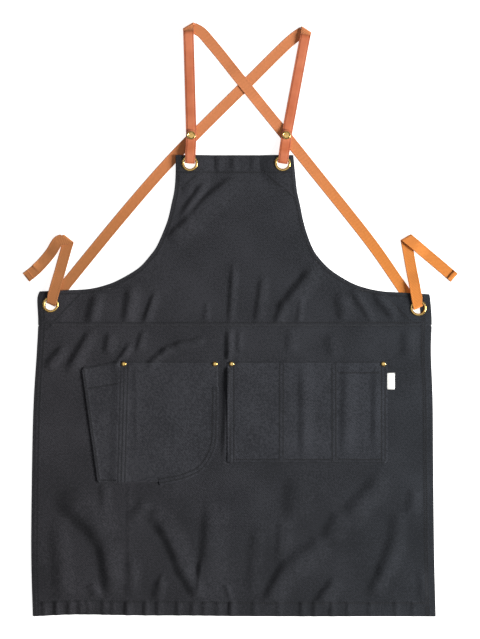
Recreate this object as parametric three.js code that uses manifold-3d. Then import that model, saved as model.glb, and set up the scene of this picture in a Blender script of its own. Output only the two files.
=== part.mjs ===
// A cotton work apron, lying face up on a flat surface as it would by itself.
// X runs across the apron, Y from the hem to the bib, Z up. All sizes are millimetres.
// The bib and the skirt are two cloths joined at the waist seam. Leather shoulder straps
// pass through brass eyelets in the bib and are snapped to themselves. Cotton webbing is
// sewn to each leather strap at the shoulder, crosses at the back, passes through the
// eyelet at the opposite waist corner and ends in a folded tie.

import * as THREE from 'three';
import { mergeVertices } from 'three/addons/utils/BufferGeometryUtils.js';
import Module from 'manifold-3d';

// Cloth sizes
const SKIRT_LENGTH = 522;
const WAIST_BAND = 59;
const BIB_HEIGHT = 247.5;
const HEM_WIDTH = 726;
const WAIST_WIDTH = 701;
const BIB_TOP_WIDTH = 212;
const WAIST_TILT = 5;
const CLOTH = 1.0;
const SIDE_HEM = 12;
const BOTTOM_HEM = 26;
const ARMHOLE_HEM = 7;
const BIB_FACING = 31;
const SEAM_ALLOWANCE = 10;
const CORNER_FACING = 78;
const GAP = 0.3;

// Pocket sizes
const POCKET_DROP = 65;
const POCKET_SPLIT = 19;
const POCKET_SPLIT_X = -20;
const RIGHT_POCKET_WIDTH = 284;
const RIGHT_POCKET_HEIGHT = 182;
const LEFT_POCKET_WIDTH = 175;
const LEFT_POCKET_HEIGHT = 217;
const TOOL_POCKET_MOUTH = 69;
const TOOL_POCKET_FOOT = 35;
const TOOL_POCKET_SLANT = 12;
const POCKET_LEAN = 6;
const LABEL_WIDTH = 14.5;
const LABEL_HEIGHT = 30;
const LABEL_DROP = 20;
const LABEL_THICK = 1.0;

// Metal sizes
const EYELET_HOLE = 20;
const EYELET_OUTER = 29;
const EYELET_TUBE_WALL = 0.8;
const EYELET_BACK_THICK = 0.8;
const EYELET_FRONT_THICK = 1.6;
const BIB_EYELET_DROP = 15;
const WAIST_EYELET_INSET = 20;
const SNAP_CAP = 15;
const SNAP_DISC = 14;
const SNAP_DISC_THICK = 0.8;
const SNAP_CAP_THICK = 2.4;
const SNAP_POST = 4;
const SNAP_RISE = 35;
const RIVET_CAP = 9;
const RIVET_CAP_THICK = 2;
const RIVET_POST = 3;
const RIVET_BACK_THICK = 0.7;
const RIVET_INSET = 5.5;
const RIVET_DROP = 4.2;
const BACK_INSET = 0.6;

// Strap sizes
const LEATHER_WIDTH = 19;
const LEATHER = 2.0;
const WEBBING_WIDTH = 20;
const WEBBING = 1.5;
const TAB_LENGTH_PAST_SNAP = 11;
const STRAP_REACH = 242;
const SHOULDER_FOLD = 1.4;
const TIE_FOLD = 1.3;
const LEATHER_UNDERLAP = 4;
const TIE_END_HEM = 13;
const HOLE_SIDE_PLAY = 1.1;
const STATION_SPACING = 12;

// Facets of the cloth, in the lattice that all cloth layers share
const LATTICE_X = 24;
const LATTICE_Y = 28;

// Heights over the surface that the apron lies on
const SEAM_Y = SKIRT_LENGTH;
const WAIST_Y = SKIRT_LENGTH + WAIST_BAND;
const TOP_Y = WAIST_Y + BIB_HEIGHT;
const CLOTH_STEP = CLOTH + GAP;
const WEBBING_STEP = WEBBING + GAP;
const LATTICE_REACH = Math.hypot(LATTICE_X, LATTICE_Y);

// The bib's edge from its top corner to the waist corner. rise is a share of the bib's
// height above the waist corners. left and right say how far the edge has swung out on
// each side, as a share of the way from the top corner to the waist corner.
const BIB_EDGE = [
  { rise: 1.0, left: 0.0, right: 0.0 },
  { rise: 0.86, left: 0.0, right: 0.014 },
  { rise: 0.74, left: 0.01, right: 0.028 },
  { rise: 0.645, left: 0.03, right: 0.049 },
  { rise: 0.536, left: 0.055, right: 0.071 },
  { rise: 0.442, left: 0.09, right: 0.097 },
  { rise: 0.336, left: 0.138, right: 0.138 },
  { rise: 0.267, left: 0.187, right: 0.181 },
  { rise: 0.173, left: 0.275, right: 0.262 },
  { rise: 0.085, left: 0.424, right: 0.391 },
  { rise: 0.043, left: 0.535, right: 0.495 },
  { rise: 0.02, left: 0.64, right: 0.62 },
  { rise: 0.012, left: 0.76, right: 0.76 },
];

// The two sides below the waist corners. rise is a share of the waist's height over the
// hem. left and right say how far each side has swung out, as a share of the way from half
// the waist's width to half the hem's.
const SIDE_EDGE = [
  { rise: 0.98, left: 0.33, right: 0.13 },
  { rise: 0.91, left: 0.22, right: 0.36 },
  { rise: 0.82, left: 0.42, right: 0.25 },
  { rise: 0.67, left: 0.86, right: 0.5 },
  { rise: 0.49, left: 1.09, right: 0.57 },
  { rise: 0.2, left: 1.23, right: 0.71 },
  { rise: 0.0, left: 1.0, right: 0.94 },
];

// Folds that stand up in the cloth. x is a share of the hem's width and y a share of the
// apron's length, from one end of the fold's crest to the other. wide and tall are shares
// of the cloth's thickness.
const FOLDS = [
  { x1: -0.123, y1: 0.87, x2: -0.073, y2: 0.93, wide: 46, tall: 4.2 },
  { x1: -0.152, y1: 0.829, x2: -0.053, y2: 0.905, wide: 50, tall: 4.4 },
  { x1: -0.053, y1: 0.905, x2: 0.004, y2: 0.945, wide: 44, tall: 3.0 },
  { x1: -0.009, y1: 0.79, x2: -0.009, y2: 0.65, wide: 46, tall: 2.0 },
  { x1: -0.004, y1: 0.62, x2: -0.007, y2: 0.34, wide: 48, tall: 4.0 },
  { x1: -0.338, y1: 0.69, x2: -0.361, y2: 0.655, wide: 50, tall: 2.4 },
  { x1: -0.19, y1: 0.69, x2: -0.209, y2: 0.645, wide: 52, tall: 4.0 },
  { x1: -0.358, y1: 0.605, x2: -0.398, y2: 0.535, wide: 52, tall: 4.0 },
  { x1: -0.425, y1: 0.58, x2: -0.452, y2: 0.535, wide: 48, tall: 3.0 },
  { x1: -0.249, y1: 0.585, x2: -0.279, y2: 0.555, wide: 46, tall: 2.6 },
  { x1: -0.128, y1: 0.585, x2: -0.19, y2: 0.553, wide: 48, tall: 2.8 },
  { x1: -0.259, y1: 0.52, x2: -0.257, y2: 0.1, wide: 46, tall: 1.8 },
  { x1: -0.428, y1: 0.249, x2: -0.341, y2: 0.181, wide: 52, tall: 4.4 },
  { x1: -0.341, y1: 0.181, x2: -0.311, y2: 0.09, wide: 52, tall: 3.8 },
  { x1: -0.18, y1: 0.205, x2: -0.1, y2: 0.085, wide: 52, tall: 4.2 },
  { x1: -0.056, y1: 0.234, x2: -0.076, y2: 0.1, wide: 48, tall: 3.6 },
  { x1: 0.152, y1: 0.125, x2: 0.1, y2: 0.085, wide: 50, tall: 3.2 },
  { x1: 0.242, y1: 0.203, x2: 0.17, y2: 0.13, wide: 50, tall: 3.4 },
  { x1: 0.39, y1: 0.15, x2: 0.356, y2: 0.1, wide: 50, tall: 2.8 },
  { x1: 0.338, y1: 0.268, x2: 0.276, y2: 0.214, wide: 50, tall: 2.6 },
  { x1: 0.167, y1: 0.72, x2: 0.105, y2: 0.65, wide: 54, tall: 4.0 },
  { x1: 0.36, y1: 0.68, x2: 0.38, y2: 0.655, wide: 48, tall: 2.2 },
  { x1: 0.172, y1: 0.51, x2: 0.172, y2: 0.36, wide: 46, tall: 2.2 },
  { x1: 0.276, y1: 0.51, x2: 0.276, y2: 0.36, wide: 46, tall: 2.0 },
];

// The lower right corner of the left pocket, from its straight side to its foot. across
// is a share of the pocket's width and down a share of its height, from the top corner.
const LEFT_POCKET_CORNER = [
  { across: 0.99, down: 0.57 },
  { across: 0.975, down: 0.7 },
  { across: 0.93, down: 0.79 },
  { across: 0.865, down: 0.865 },
  { across: 0.79, down: 0.91 },
  { across: 0.64, down: 0.955 },
  { across: 0.45, down: 0.985 },
];

// Each shoulder strap: the places across are shares of the bib's top width, the shoulder's
// height is a share of the straps' reach, and exit is the heading, in degrees, in which
// the strap leaves its fold at the shoulder.
const SHOULDERS = {
  left: { eyelet: -0.378, snap: -0.362, shoulder: -0.386, height: 0.965, exit: -30 },
  right: { eyelet: 0.408, snap: 0.441, shoulder: 0.611, height: 0.936, exit: 215 },
};

// How far each webbing strap bows away from the straight line between its shoulder and
// its waist eyelet. Both columns are shares of the length of that line.
const BOWS = {
  left: [
    { along: 0.064, bow: 0.019 },
    { along: 0.12, bow: 0.0185 },
    { along: 0.2, bow: 0.0155 },
    { along: 0.382, bow: 0.0152 },
    { along: 0.501, bow: 0.0145 },
    { along: 0.771, bow: 0.0122 },
    { along: 0.943, bow: 0.0 },
  ],
  right: [
    { along: 0.055, bow: -0.0103 },
    { along: 0.2145, bow: -0.0173 },
    { along: 0.4, bow: -0.0253 },
    { along: 0.544, bow: -0.0266 },
    { along: 0.7255, bow: -0.0196 },
    { along: 0.952, bow: -0.0052 },
  ],
};

// The tie at each waist eyelet. drop is how far the eyelet lies below the waist's edge, as
// a share of the waist band. The headings are in degrees and the lengths are shares of the
// straps' reach. The first leg runs from the eyelet up to the fold. The second leaves the
// fold in one heading and ends in the last one.
const TIES = {
  left: { drop: 0.36, first: 76, firstLength: 0.511, second: 229, last: 222, secondLength: 0.427 },
  right: { drop: 0.466, first: 100, firstLength: 0.536, second: -39, last: -41, secondLength: 0.472 },
};

// Fronts of the turned pieces. out is a share of the way from the inner to the outer edge
// and up a share of the front's thickness.
const EYELET_FRONT = [
  { out: 1, up: 0 },
  { out: 0.94, up: 0.6 },
  { out: 0.5, up: 1 },
  { out: 0.1, up: 0.7 },
  { out: 0, up: 0 },
];
const SNAP_FRONT = [
  { out: 1, up: 0 },
  { out: 1, up: 0.45 },
  { out: 0.84, up: 1 },
  { out: 0.6, up: 0.7 },
  { out: 0, up: 0.6 },
];
const RIVET_FRONT = [
  { out: 1, up: 0 },
  { out: 0.8, up: 0.6 },
  { out: 0.4, up: 1 },
  { out: 0, up: 1 },
];

// Where the rounded end of a leather tab has its stations, as shares of half its width
const TAB_END = [0.04, 0.35, 0.7];

const COLOURS = {
  cloth: { color: 0x3a3c41, roughness: 0.92, metalness: 0 },
  pocket: { color: 0x404247, roughness: 0.92, metalness: 0 },
  leather: { color: 0xd07a52, roughness: 0.45, metalness: 0 },
  webbing: { color: 0xd98648, roughness: 0.85, metalness: 0 },
  brass: { color: 0xc9a557, roughness: 0.25, metalness: 1 },
  label: { color: 0xf2f2ef, roughness: 0.8, metalness: 0 },
};

const wasm = await Module();
wasm.setup();

function solidOf(geometry) {
  const bare = geometry.clone();
  bare.deleteAttribute('normal');
  bare.deleteAttribute('uv');
  const merged = mergeVertices(bare, 1e-4);
  return new wasm.Manifold(new wasm.Mesh({
    numProp: 3,
    vertProperties: new Float32Array(merged.attributes.position.array),
    triVerts: new Uint32Array(merged.index.array),
  }));
}

function geometryOf(solid) {
  const mesh = solid.getMesh();
  const geometry = new THREE.BufferGeometry();
  geometry.setAttribute('position', new THREE.BufferAttribute(mesh.vertProperties, 3));
  geometry.setIndex(new THREE.BufferAttribute(mesh.triVerts, 1));
  geometry.computeVertexNormals();
  return geometry;
}

const apron = new THREE.Group();

function addPiece(name, geometry, finish) {
  const mesh = new THREE.Mesh(geometry, new THREE.MeshStandardMaterial(COLOURS[finish]));
  mesh.name = name;
  apron.add(mesh);
}

// Plane geometry helpers

const smooth = (t) => {
  const s = Math.min(Math.max(t, 0), 1);
  return s * s * (3 - 2 * s);
};

const heading = (degrees) => {
  const turn = THREE.MathUtils.degToRad(degrees);
  return new THREE.Vector2(Math.cos(turn), Math.sin(turn));
};

const along = (point, direction, distance) => point.clone().addScaledVector(direction, distance);

function distanceToLine(x, y, line) {
  let nearest = Infinity;
  for (let i = 1; i < line.length; i += 1) {
    const [a, b] = [line[i - 1], line[i]];
    const side = b.clone().sub(a);
    const share = ((x - a.x) * side.x + (y - a.y) * side.y) / Math.max(side.lengthSq(), 1e-9);
    const t = Math.min(Math.max(share, 0), 1);
    nearest = Math.min(nearest, Math.hypot(x - a.x - side.x * t, y - a.y - side.y * t));
  }
  return nearest;
}

// 1 within the flat reach of a line, falling smoothly to 0 over the slope beside it
const overLine = (x, y, line, flat, slope) => 1 - smooth((distanceToLine(x, y, line) - flat) / slope);

// Places that the straps, the metal and the cloth share

const SIDES = ['left', 'right'];
const outward = { left: -1, right: 1 };
const places = {};
for (const side of SIDES) {
  const shoulder = SHOULDERS[side];
  const waistX = outward[side] * (WAIST_WIDTH / 2 - WAIST_EYELET_INSET);
  places[side] = {
    bibEyelet: new THREE.Vector2(shoulder.eyelet * BIB_TOP_WIDTH, TOP_Y - BIB_EYELET_DROP),
    snap: new THREE.Vector2(shoulder.snap * BIB_TOP_WIDTH, TOP_Y + SNAP_RISE),
    shoulder: new THREE.Vector2(shoulder.shoulder * BIB_TOP_WIDTH, TOP_Y + shoulder.height * STRAP_REACH),
    waistEyelet: new THREE.Vector2(waistX, WAIST_Y - TIES[side].drop * WAIST_BAND),
  };
}
const otherSide = { left: 'right', right: 'left' };

// The centre line of a webbing strap, from its shoulder to the eyelet at the other waist
function webbingRoute(side) {
  const start = along(places[side].shoulder, heading(SHOULDERS[side].exit), LEATHER_UNDERLAP);
  const end = places[otherSide[side]].waistEyelet;
  const chord = end.clone().sub(start);
  const across = new THREE.Vector2(-chord.y, chord.x);
  const knots = [start];
  for (const row of BOWS[side]) {
    knots.push(start.clone().addScaledVector(chord, row.along).addScaledVector(across, row.bow));
  }
  knots.push(end);
  return new THREE.SplineCurve(knots);
}
const ROUTE_STEPS = 40;
const routes = { left: webbingRoute('left'), right: webbingRoute('right') };
const routeLines = {
  left: routes.left.getPoints(ROUTE_STEPS),
  right: routes.right.getPoints(ROUTE_STEPS),
};

// Levels of the layers. The webbing lies on the surface. The left shoulder's webbing rises
// over the right one's where they cross, and both leather straps rise over the webbing.
const CROSS_FLAT = WEBBING_WIDTH / 2 + WEBBING_WIDTH / 2 + 4;
const CROSS_SLOPE = 26;
const webbingBed = {
  left: (x, y) => WEBBING_STEP * overLine(x, y, routeLines.right, CROSS_FLAT, CROSS_SLOPE),
  right: () => 0,
};
const LEATHER_FLAT = WEBBING_WIDTH / 2 + LEATHER_WIDTH / 2 + 6;
const LEATHER_SLOPE = 24;
const leatherBed = (x, y) => WEBBING_STEP * Math.max(
  overLine(x, y, routeLines.left, LEATHER_FLAT, LEATHER_SLOPE),
  overLine(x, y, routeLines.right, LEATHER_FLAT, LEATHER_SLOPE),
);

// The stack of layers at an eyelet, from the strap behind the cloth to the strap in front
function eyeletStack(strapBed, strapThick) {
  const back = strapBed + strapThick + GAP;
  const hemUnder = back + EYELET_BACK_THICK + GAP;
  const clothUnder = hemUnder + CLOTH_STEP;
  const front = clothUnder + CLOTH + GAP;
  const strapFront = front + EYELET_FRONT_THICK + GAP;
  return { strapBed, back, clothUnder, front, strapFront };
}
const bibStack = eyeletStack(WEBBING_STEP, LEATHER);
const waistStack = eyeletStack(0, WEBBING);

// The stack at a snap: webbing, disc, strap, tab and cap
const snapDisc = WEBBING_STEP;
const snapStrap = snapDisc + SNAP_DISC_THICK + GAP;
const snapTab = snapStrap + LEATHER + GAP;
const snapCap = snapTab + LEATHER + GAP;

// Pocket corners

const pocketTop = SEAM_Y - POCKET_DROP;
const rightPocketX = POCKET_SPLIT_X + POCKET_SPLIT / 2;
const leftPocketEnd = POCKET_SPLIT_X - POCKET_SPLIT / 2;
const leftPocketX = leftPocketEnd - LEFT_POCKET_WIDTH;
const leftPocketFoot = pocketTop - LEFT_POCKET_HEIGHT;
const rivetPlaces = {
  pocket_rivet_left_outer: new THREE.Vector2(leftPocketX + RIVET_INSET, pocketTop - RIVET_DROP),
  pocket_rivet_left_inner: new THREE.Vector2(leftPocketEnd - RIVET_INSET, pocketTop - RIVET_DROP),
  pocket_rivet_right_inner: new THREE.Vector2(rightPocketX + RIVET_INSET, pocketTop - RIVET_DROP),
  pocket_rivet_right_outer: new THREE.Vector2(
    rightPocketX + RIGHT_POCKET_WIDTH - RIVET_INSET, pocketTop - RIVET_DROP),
};

// The surface of the cloth

const foldLines = FOLDS.map((row) => ({
  line: [
    new THREE.Vector2(row.x1 * HEM_WIDTH, row.y1 * TOP_Y),
    new THREE.Vector2(row.x2 * HEM_WIDTH, row.y2 * TOP_Y),
  ],
  reach: (row.wide * CLOTH) / 2,
  rise: row.tall * CLOTH,
}));

function foldRise(x, y) {
  let rise = 0;
  for (const fold of foldLines) {
    const distance = distanceToLine(x, y, fold.line);
    if (distance < fold.reach) {
      rise = Math.max(rise, fold.rise * 0.5 * (1 + Math.cos((Math.PI * distance) / fold.reach)));
    }
  }
  return rise;
}

// Metal presses the cloth flat, so the folds die out around it and at the bottom hem
const METAL_SLOPE = 24;
const eyeletPlaces = SIDES.flatMap((side) => [places[side].bibEyelet, places[side].waistEyelet]);
const pressed = [
  ...eyeletPlaces.map((point) => ({ point, radius: EYELET_OUTER / 2 })),
  ...Object.values(rivetPlaces).map((point) => ({ point, radius: RIVET_CAP / 2 })),
];

function pressedShare(x, y) {
  let share = smooth((y - BOTTOM_HEM - LATTICE_Y) / LATTICE_Y);
  for (const { point, radius } of pressed) {
    const fromRim = Math.hypot(x - point.x, y - point.y) - radius - LATTICE_REACH;
    share *= smooth(fromRim / METAL_SLOPE);
  }
  return share;
}

// Height of the underside of the outer cloth, one hem's thickness over the surface
const UNDER_SLOPE = 40;
function clothUnder(x, y) {
  let under = CLOTH_STEP + foldRise(x, y) * pressedShare(x, y);
  for (const side of SIDES) {
    const overWebbing = overLine(x, y, routeLines[side], WEBBING_WIDTH / 2 + LATTICE_REACH, UNDER_SLOPE);
    under = Math.max(under, CLOTH_STEP + WEBBING_STEP * overWebbing);
    const { bibEyelet, waistEyelet } = places[side];
    for (const [eyelet, stack] of [[bibEyelet, bibStack], [waistEyelet, waistStack]]) {
      const overRing = overLine(x, y, [eyelet, eyelet], EYELET_OUTER / 2 + LATTICE_REACH, UNDER_SLOPE);
      under = Math.max(under, CLOTH_STEP + (stack.clothUnder - CLOTH_STEP) * overRing);
    }
  }
  return under;
}

// A faceted layer of cloth between two offsets from the shared surface, over a rectangle
function clothLayer(box, low, high) {
  const columns = [Math.floor(box.min.x / LATTICE_X) - 1, Math.ceil(box.max.x / LATTICE_X) + 1];
  const rows = [Math.floor(box.min.y / LATTICE_Y) - 1, Math.ceil(box.max.y / LATTICE_Y) + 1];
  const across = columns[1] - columns[0];
  const up = rows[1] - rows[0];
  const sheet = new THREE.PlaneGeometry(across * LATTICE_X, up * LATTICE_Y, across, up);
  sheet.translate(((columns[0] + columns[1]) * LATTICE_X) / 2, ((rows[0] + rows[1]) * LATTICE_Y) / 2, 0);
  const place = sheet.attributes.position;
  const count = place.count;
  const points = new Float32Array(count * 6);
  for (let i = 0; i < count; i += 1) {
    const [x, y] = [place.getX(i), place.getY(i)];
    const under = clothUnder(x, y);
    points.set([x, y, under + high], i * 3);
    points.set([x, y, under + low], (count + i) * 3);
  }
  const faces = [];
  const index = sheet.index.array;
  for (let i = 0; i < index.length; i += 3) {
    faces.push(index[i], index[i + 1], index[i + 2]);
    faces.push(count + index[i], count + index[i + 2], count + index[i + 1]);
  }
  const rim = [];
  const row = across + 1;
  for (let i = 0; i < across; i += 1) rim.push(i);
  for (let j = 0; j < up; j += 1) rim.push(across + j * row);
  for (let i = across; i > 0; i -= 1) rim.push(up * row + i);
  for (let j = up; j > 0; j -= 1) rim.push(j * row);
  rim.forEach((a, i) => {
    const b = rim[(i + 1) % rim.length];
    faces.push(a, b, count + a, b, count + b, count + a);
  });
  const geometry = new THREE.BufferGeometry();
  geometry.setAttribute('position', new THREE.BufferAttribute(points, 3));
  geometry.setIndex(faces);
  return solidOf(geometry);
}

// An upright prism over an outline, tall enough to cut every layer of cloth
const PRISM_DEPTH = 200;
function prism(outline) {
  const geometry = new THREE.ExtrudeGeometry(new THREE.Shape(outline), {
    depth: PRISM_DEPTH,
    bevelEnabled: false,
  });
  geometry.translate(0, 0, -PRISM_DEPTH / 2);
  return solidOf(geometry);
}

const METAL_SIDES = 16;
function roundPrism(centre, radius, sides = METAL_SIDES) {
  const geometry = new THREE.CylinderGeometry(radius, radius, PRISM_DEPTH, sides);
  geometry.rotateX(Math.PI / 2);
  geometry.translate(centre.x, centre.y, 0);
  return solidOf(geometry);
}

// Cloth cut to an outline, between two offsets from the shared surface
function cutCloth(outline, low, high) {
  return clothLayer(new THREE.Box2().setFromPoints(outline), low, high).intersect(prism(outline));
}

const rectangle = (x1, y1, x2, y2) => [
  new THREE.Vector2(x1, y1),
  new THREE.Vector2(x2, y1),
  new THREE.Vector2(x2, y2),
  new THREE.Vector2(x1, y2),
];

// Outlines of the bib and the skirt

const swungOut = (side, share) => outward[side] * (WAIST_WIDTH + share * (HEM_WIDTH - WAIST_WIDTH)) / 2;

const sidePoints = (side, fromRise, toRise) => SIDE_EDGE
  .filter((row) => row.rise < fromRise && row.rise > toRise)
  .map((row) => new THREE.Vector2(swungOut(side, row[side]), row.rise * WAIST_Y));

function sideXAt(side, y) {
  const rise = y / WAIST_Y;
  const upper = [...SIDE_EDGE].reverse().find((row) => row.rise >= rise);
  const lower = SIDE_EDGE.find((row) => row.rise <= rise);
  const span = upper.rise - lower.rise;
  const share = span > 0 ? (rise - lower.rise) / span : 0;
  return swungOut(side, lower[side] + (upper[side] - lower[side]) * share);
}

// The bib lies turned a little, so that its left waist corner is the higher one
const tilted = (x, y) => new THREE.Vector2(x, y - (x / WAIST_WIDTH) * WAIST_TILT);

function armholePoints(side) {
  const half = BIB_TOP_WIDTH / 2;
  const swing = WAIST_WIDTH / 2 - half;
  return BIB_EDGE.map((row) => tilted(
    outward[side] * (half + row[side] * swing), WAIST_Y + row.rise * BIB_HEIGHT));
}

const seamShare = SEAM_Y / WAIST_Y;
const waistCorner = (side) => tilted((outward[side] * WAIST_WIDTH) / 2, WAIST_Y);

const bibOutline = [
  new THREE.Vector2(sideXAt('left', SEAM_Y), SEAM_Y + GAP / 2),
  new THREE.Vector2(sideXAt('right', SEAM_Y), SEAM_Y + GAP / 2),
  ...sidePoints('right', 1, seamShare).reverse(),
  waistCorner('right'),
  ...armholePoints('right').reverse(),
  ...armholePoints('left'),
  waistCorner('left'),
  ...sidePoints('left', 1, seamShare),
];
const skirtOutline = [
  ...sidePoints('left', seamShare, -1),
  ...sidePoints('right', seamShare, -1).reverse(),
  new THREE.Vector2(sideXAt('right', SEAM_Y), SEAM_Y - GAP / 2),
  new THREE.Vector2(sideXAt('left', SEAM_Y), SEAM_Y - GAP / 2),
];

// The outline moved inwards, by a distance that depends on which edge it is
const NEARLY_STRAIGHT = 0.08;
function insetOutline(outline, hemAt) {
  return outline.map((point, i) => {
    const before = outline[(i + outline.length - 1) % outline.length];
    const after = outline[(i + 1) % outline.length];
    const normals = [[before, point], [point, after]].map(([a, b]) => {
      const side = b.clone().sub(a).normalize();
      return { normal: new THREE.Vector2(-side.y, side.x), hem: hemAt(a, b) };
    });
    const [p, q] = normals;
    const cross = p.normal.x * q.normal.y - p.normal.y * q.normal.x;
    if (Math.abs(cross) < NEARLY_STRAIGHT) {
      const mean = p.normal.clone().add(q.normal).normalize();
      return along(point, mean, (p.hem + q.hem) / 2);
    }
    return new THREE.Vector2(
      point.x + (p.hem * q.normal.y - q.hem * p.normal.y) / cross,
      point.y + (q.hem * p.normal.x - p.hem * q.normal.x) / cross,
    );
  });
}

// A hem is a second layer pressed against the underside, closed into one with the cloth.
// At the seam there is none, so what is left of the hem's layer is cut away past the edge.
const NO_HEM = -1;
const hemLow = -CLOTH_STEP;
const hemHigh = CLOTH / 2;

function cutHoles(solid, centres, radius, sides) {
  return centres.reduce((rest, centre) => rest.subtract(roundPrism(centre, radius, sides)), solid);
}

const TUBE_OUTER = EYELET_HOLE / 2 + EYELET_TUBE_WALL;
const FACET_ROOM = 0.2;
const CLOTH_HOLE = TUBE_OUTER + GAP + FACET_ROOM;

function makeBib() {
  const hemAt = (a, b) => {
    const level = (a.y + b.y) / 2;
    if (level < SEAM_Y + GAP) return NO_HEM;
    if (level > TOP_Y - WAIST_TILT) return BIB_FACING;
    return level < waistCorner(a.x < 0 ? 'left' : 'right').y ? SIDE_HEM : ARMHOLE_HEM;
  };
  const hem = cutCloth(bibOutline, hemLow, hemHigh).subtract(prism(insetOutline(bibOutline, hemAt)));
  let bib = cutCloth(bibOutline, 0, CLOTH).add(hem);
  for (const side of SIDES) {
    const corner = waistCorner(side);
    const facing = [
      corner,
      new THREE.Vector2(corner.x - outward[side] * CORNER_FACING, corner.y + WAIST_TILT),
      new THREE.Vector2(corner.x, SEAM_Y + GAP / 2 + SEAM_ALLOWANCE + GAP),
      new THREE.Vector2(corner.x + outward[side] * SIDE_HEM, SEAM_Y + GAP / 2 + SEAM_ALLOWANCE + GAP),
    ];
    const ordered = side === 'left' ? facing.reverse() : facing;
    bib = bib.add(cutCloth(ordered, hemLow, hemHigh).intersect(prism(bibOutline)));
  }
  const room = rectangle(
    -HEM_WIDTH, SEAM_Y - SEAM_ALLOWANCE, HEM_WIDTH, SEAM_Y + GAP / 2 + SEAM_ALLOWANCE + GAP);
  const underSeam = clothLayer(new THREE.Box2().setFromPoints(bibOutline), hemLow - GAP, 0);
  bib = bib.subtract(underSeam.intersect(prism(room)));
  return cutHoles(bib, eyeletPlaces, CLOTH_HOLE, METAL_SIDES);
}

const RIVET_SIDES = 10;
const RIVET_HOLE = RIVET_POST / 2 + GAP;

function makeSkirt() {
  const hemAt = (a, b) => {
    const level = (a.y + b.y) / 2;
    if (level < GAP) return BOTTOM_HEM;
    return level > SEAM_Y - GAP ? NO_HEM : SIDE_HEM;
  };
  const hem = cutCloth(skirtOutline, hemLow, hemHigh).subtract(prism(insetOutline(skirtOutline, hemAt)));
  const leftX = sideXAt('left', SEAM_Y) + SIDE_HEM;
  const rightX = sideXAt('right', SEAM_Y) - SIDE_HEM;
  const seamLow = rectangle(leftX - GAP, SEAM_Y - SEAM_ALLOWANCE, rightX + GAP, SEAM_Y - GAP / 2);
  const tuckedIn = rectangle(leftX, SEAM_Y - SEAM_ALLOWANCE, rightX, SEAM_Y + SEAM_ALLOWANCE);
  const skirt = cutCloth(skirtOutline, 0, CLOTH)
    .add(hem)
    .add(cutCloth(seamLow, hemLow, hemHigh))
    .add(cutCloth(tuckedIn, hemLow, -GAP));
  return cutHoles(skirt, Object.values(rivetPlaces), RIVET_HOLE, RIVET_SIDES);
}

// Pockets lie on the skirt, one layer higher, and the label lies beside the right one

const pocketLow = CLOTH_STEP;
const pocketHigh = CLOTH_STEP + CLOTH;

const leftPocketOutline = [
  new THREE.Vector2(leftPocketX - POCKET_LEAN, leftPocketFoot),
  ...[...LEFT_POCKET_CORNER].reverse().map((row) => new THREE.Vector2(
    leftPocketX + row.across * LEFT_POCKET_WIDTH, pocketTop - row.down * LEFT_POCKET_HEIGHT)),
  new THREE.Vector2(leftPocketEnd, pocketTop),
  new THREE.Vector2(leftPocketX, pocketTop),
];
const toolPocketOutline = [
  new THREE.Vector2(leftPocketX - POCKET_LEAN - TOOL_POCKET_FOOT, leftPocketFoot),
  new THREE.Vector2(leftPocketX - POCKET_LEAN - GAP, leftPocketFoot),
  new THREE.Vector2(leftPocketX - GAP, pocketTop),
  new THREE.Vector2(leftPocketX - TOOL_POCKET_MOUTH, pocketTop - TOOL_POCKET_SLANT),
];
const rightPocketOutline = rectangle(
  rightPocketX, pocketTop - RIGHT_POCKET_HEIGHT, rightPocketX + RIGHT_POCKET_WIDTH, pocketTop);
const labelX = rightPocketX + RIGHT_POCKET_WIDTH + GAP;
const labelOutline = rectangle(
  labelX, pocketTop - LABEL_DROP - LABEL_HEIGHT, labelX + LABEL_WIDTH, pocketTop - LABEL_DROP);

const rivetsIn = (prefix) => Object.entries(rivetPlaces)
  .filter(([name]) => name.startsWith(prefix))
  .map(([, place]) => place);

addPiece('bib_panel', geometryOf(makeBib()), 'cloth');
addPiece('skirt_panel', geometryOf(makeSkirt()), 'cloth');
addPiece('pocket_left', geometryOf(cutHoles(
  cutCloth(leftPocketOutline, pocketLow, pocketHigh),
  rivetsIn('pocket_rivet_left'), RIVET_HOLE, RIVET_SIDES)), 'pocket');
addPiece('pocket_tool', geometryOf(cutCloth(toolPocketOutline, pocketLow, pocketHigh)), 'pocket');
addPiece('pocket_right', geometryOf(cutHoles(
  cutCloth(rightPocketOutline, pocketLow, pocketHigh),
  rivetsIn('pocket_rivet_right'), RIVET_HOLE, RIVET_SIDES)), 'pocket');
addPiece('side_label', geometryOf(cutCloth(labelOutline, pocketLow, pocketLow + LABEL_THICK)), 'label');

// Metal pieces are turned on their own axis and set into the stack at their place

function turned(profile, centre, sides) {
  const geometry = new THREE.LatheGeometry(profile.map(([r, z]) => new THREE.Vector2(r, z)), sides);
  geometry.rotateX(Math.PI / 2);
  geometry.translate(centre.x, centre.y, 0);
  return geometryOf(outwardSolid(geometry));
}

// A closed body whose faces point out, whichever way its profile or its strip was drawn
function outwardSolid(geometry) {
  const bare = geometry.clone();
  bare.deleteAttribute('normal');
  bare.deleteAttribute('uv');
  const merged = mergeVertices(bare, 1e-4);
  const points = merged.attributes.position;
  const index = merged.index.array;
  const [a, b, c] = [new THREE.Vector3(), new THREE.Vector3(), new THREE.Vector3()];
  let volume = 0;
  for (let i = 0; i < index.length; i += 3) {
    a.fromBufferAttribute(points, index[i]);
    b.fromBufferAttribute(points, index[i + 1]);
    c.fromBufferAttribute(points, index[i + 2]);
    volume += a.dot(b.cross(c)) / 6;
  }
  if (volume < 0) {
    for (let i = 0; i < index.length; i += 3) {
      [index[i], index[i + 1]] = [index[i + 1], index[i]];
    }
  }
  return solidOf(merged);
}

const frontPoints = (table, inner, outer, level, thick) => table.map(
  (row) => [inner + (outer - inner) * row.out, level + thick * row.up]);

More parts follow.
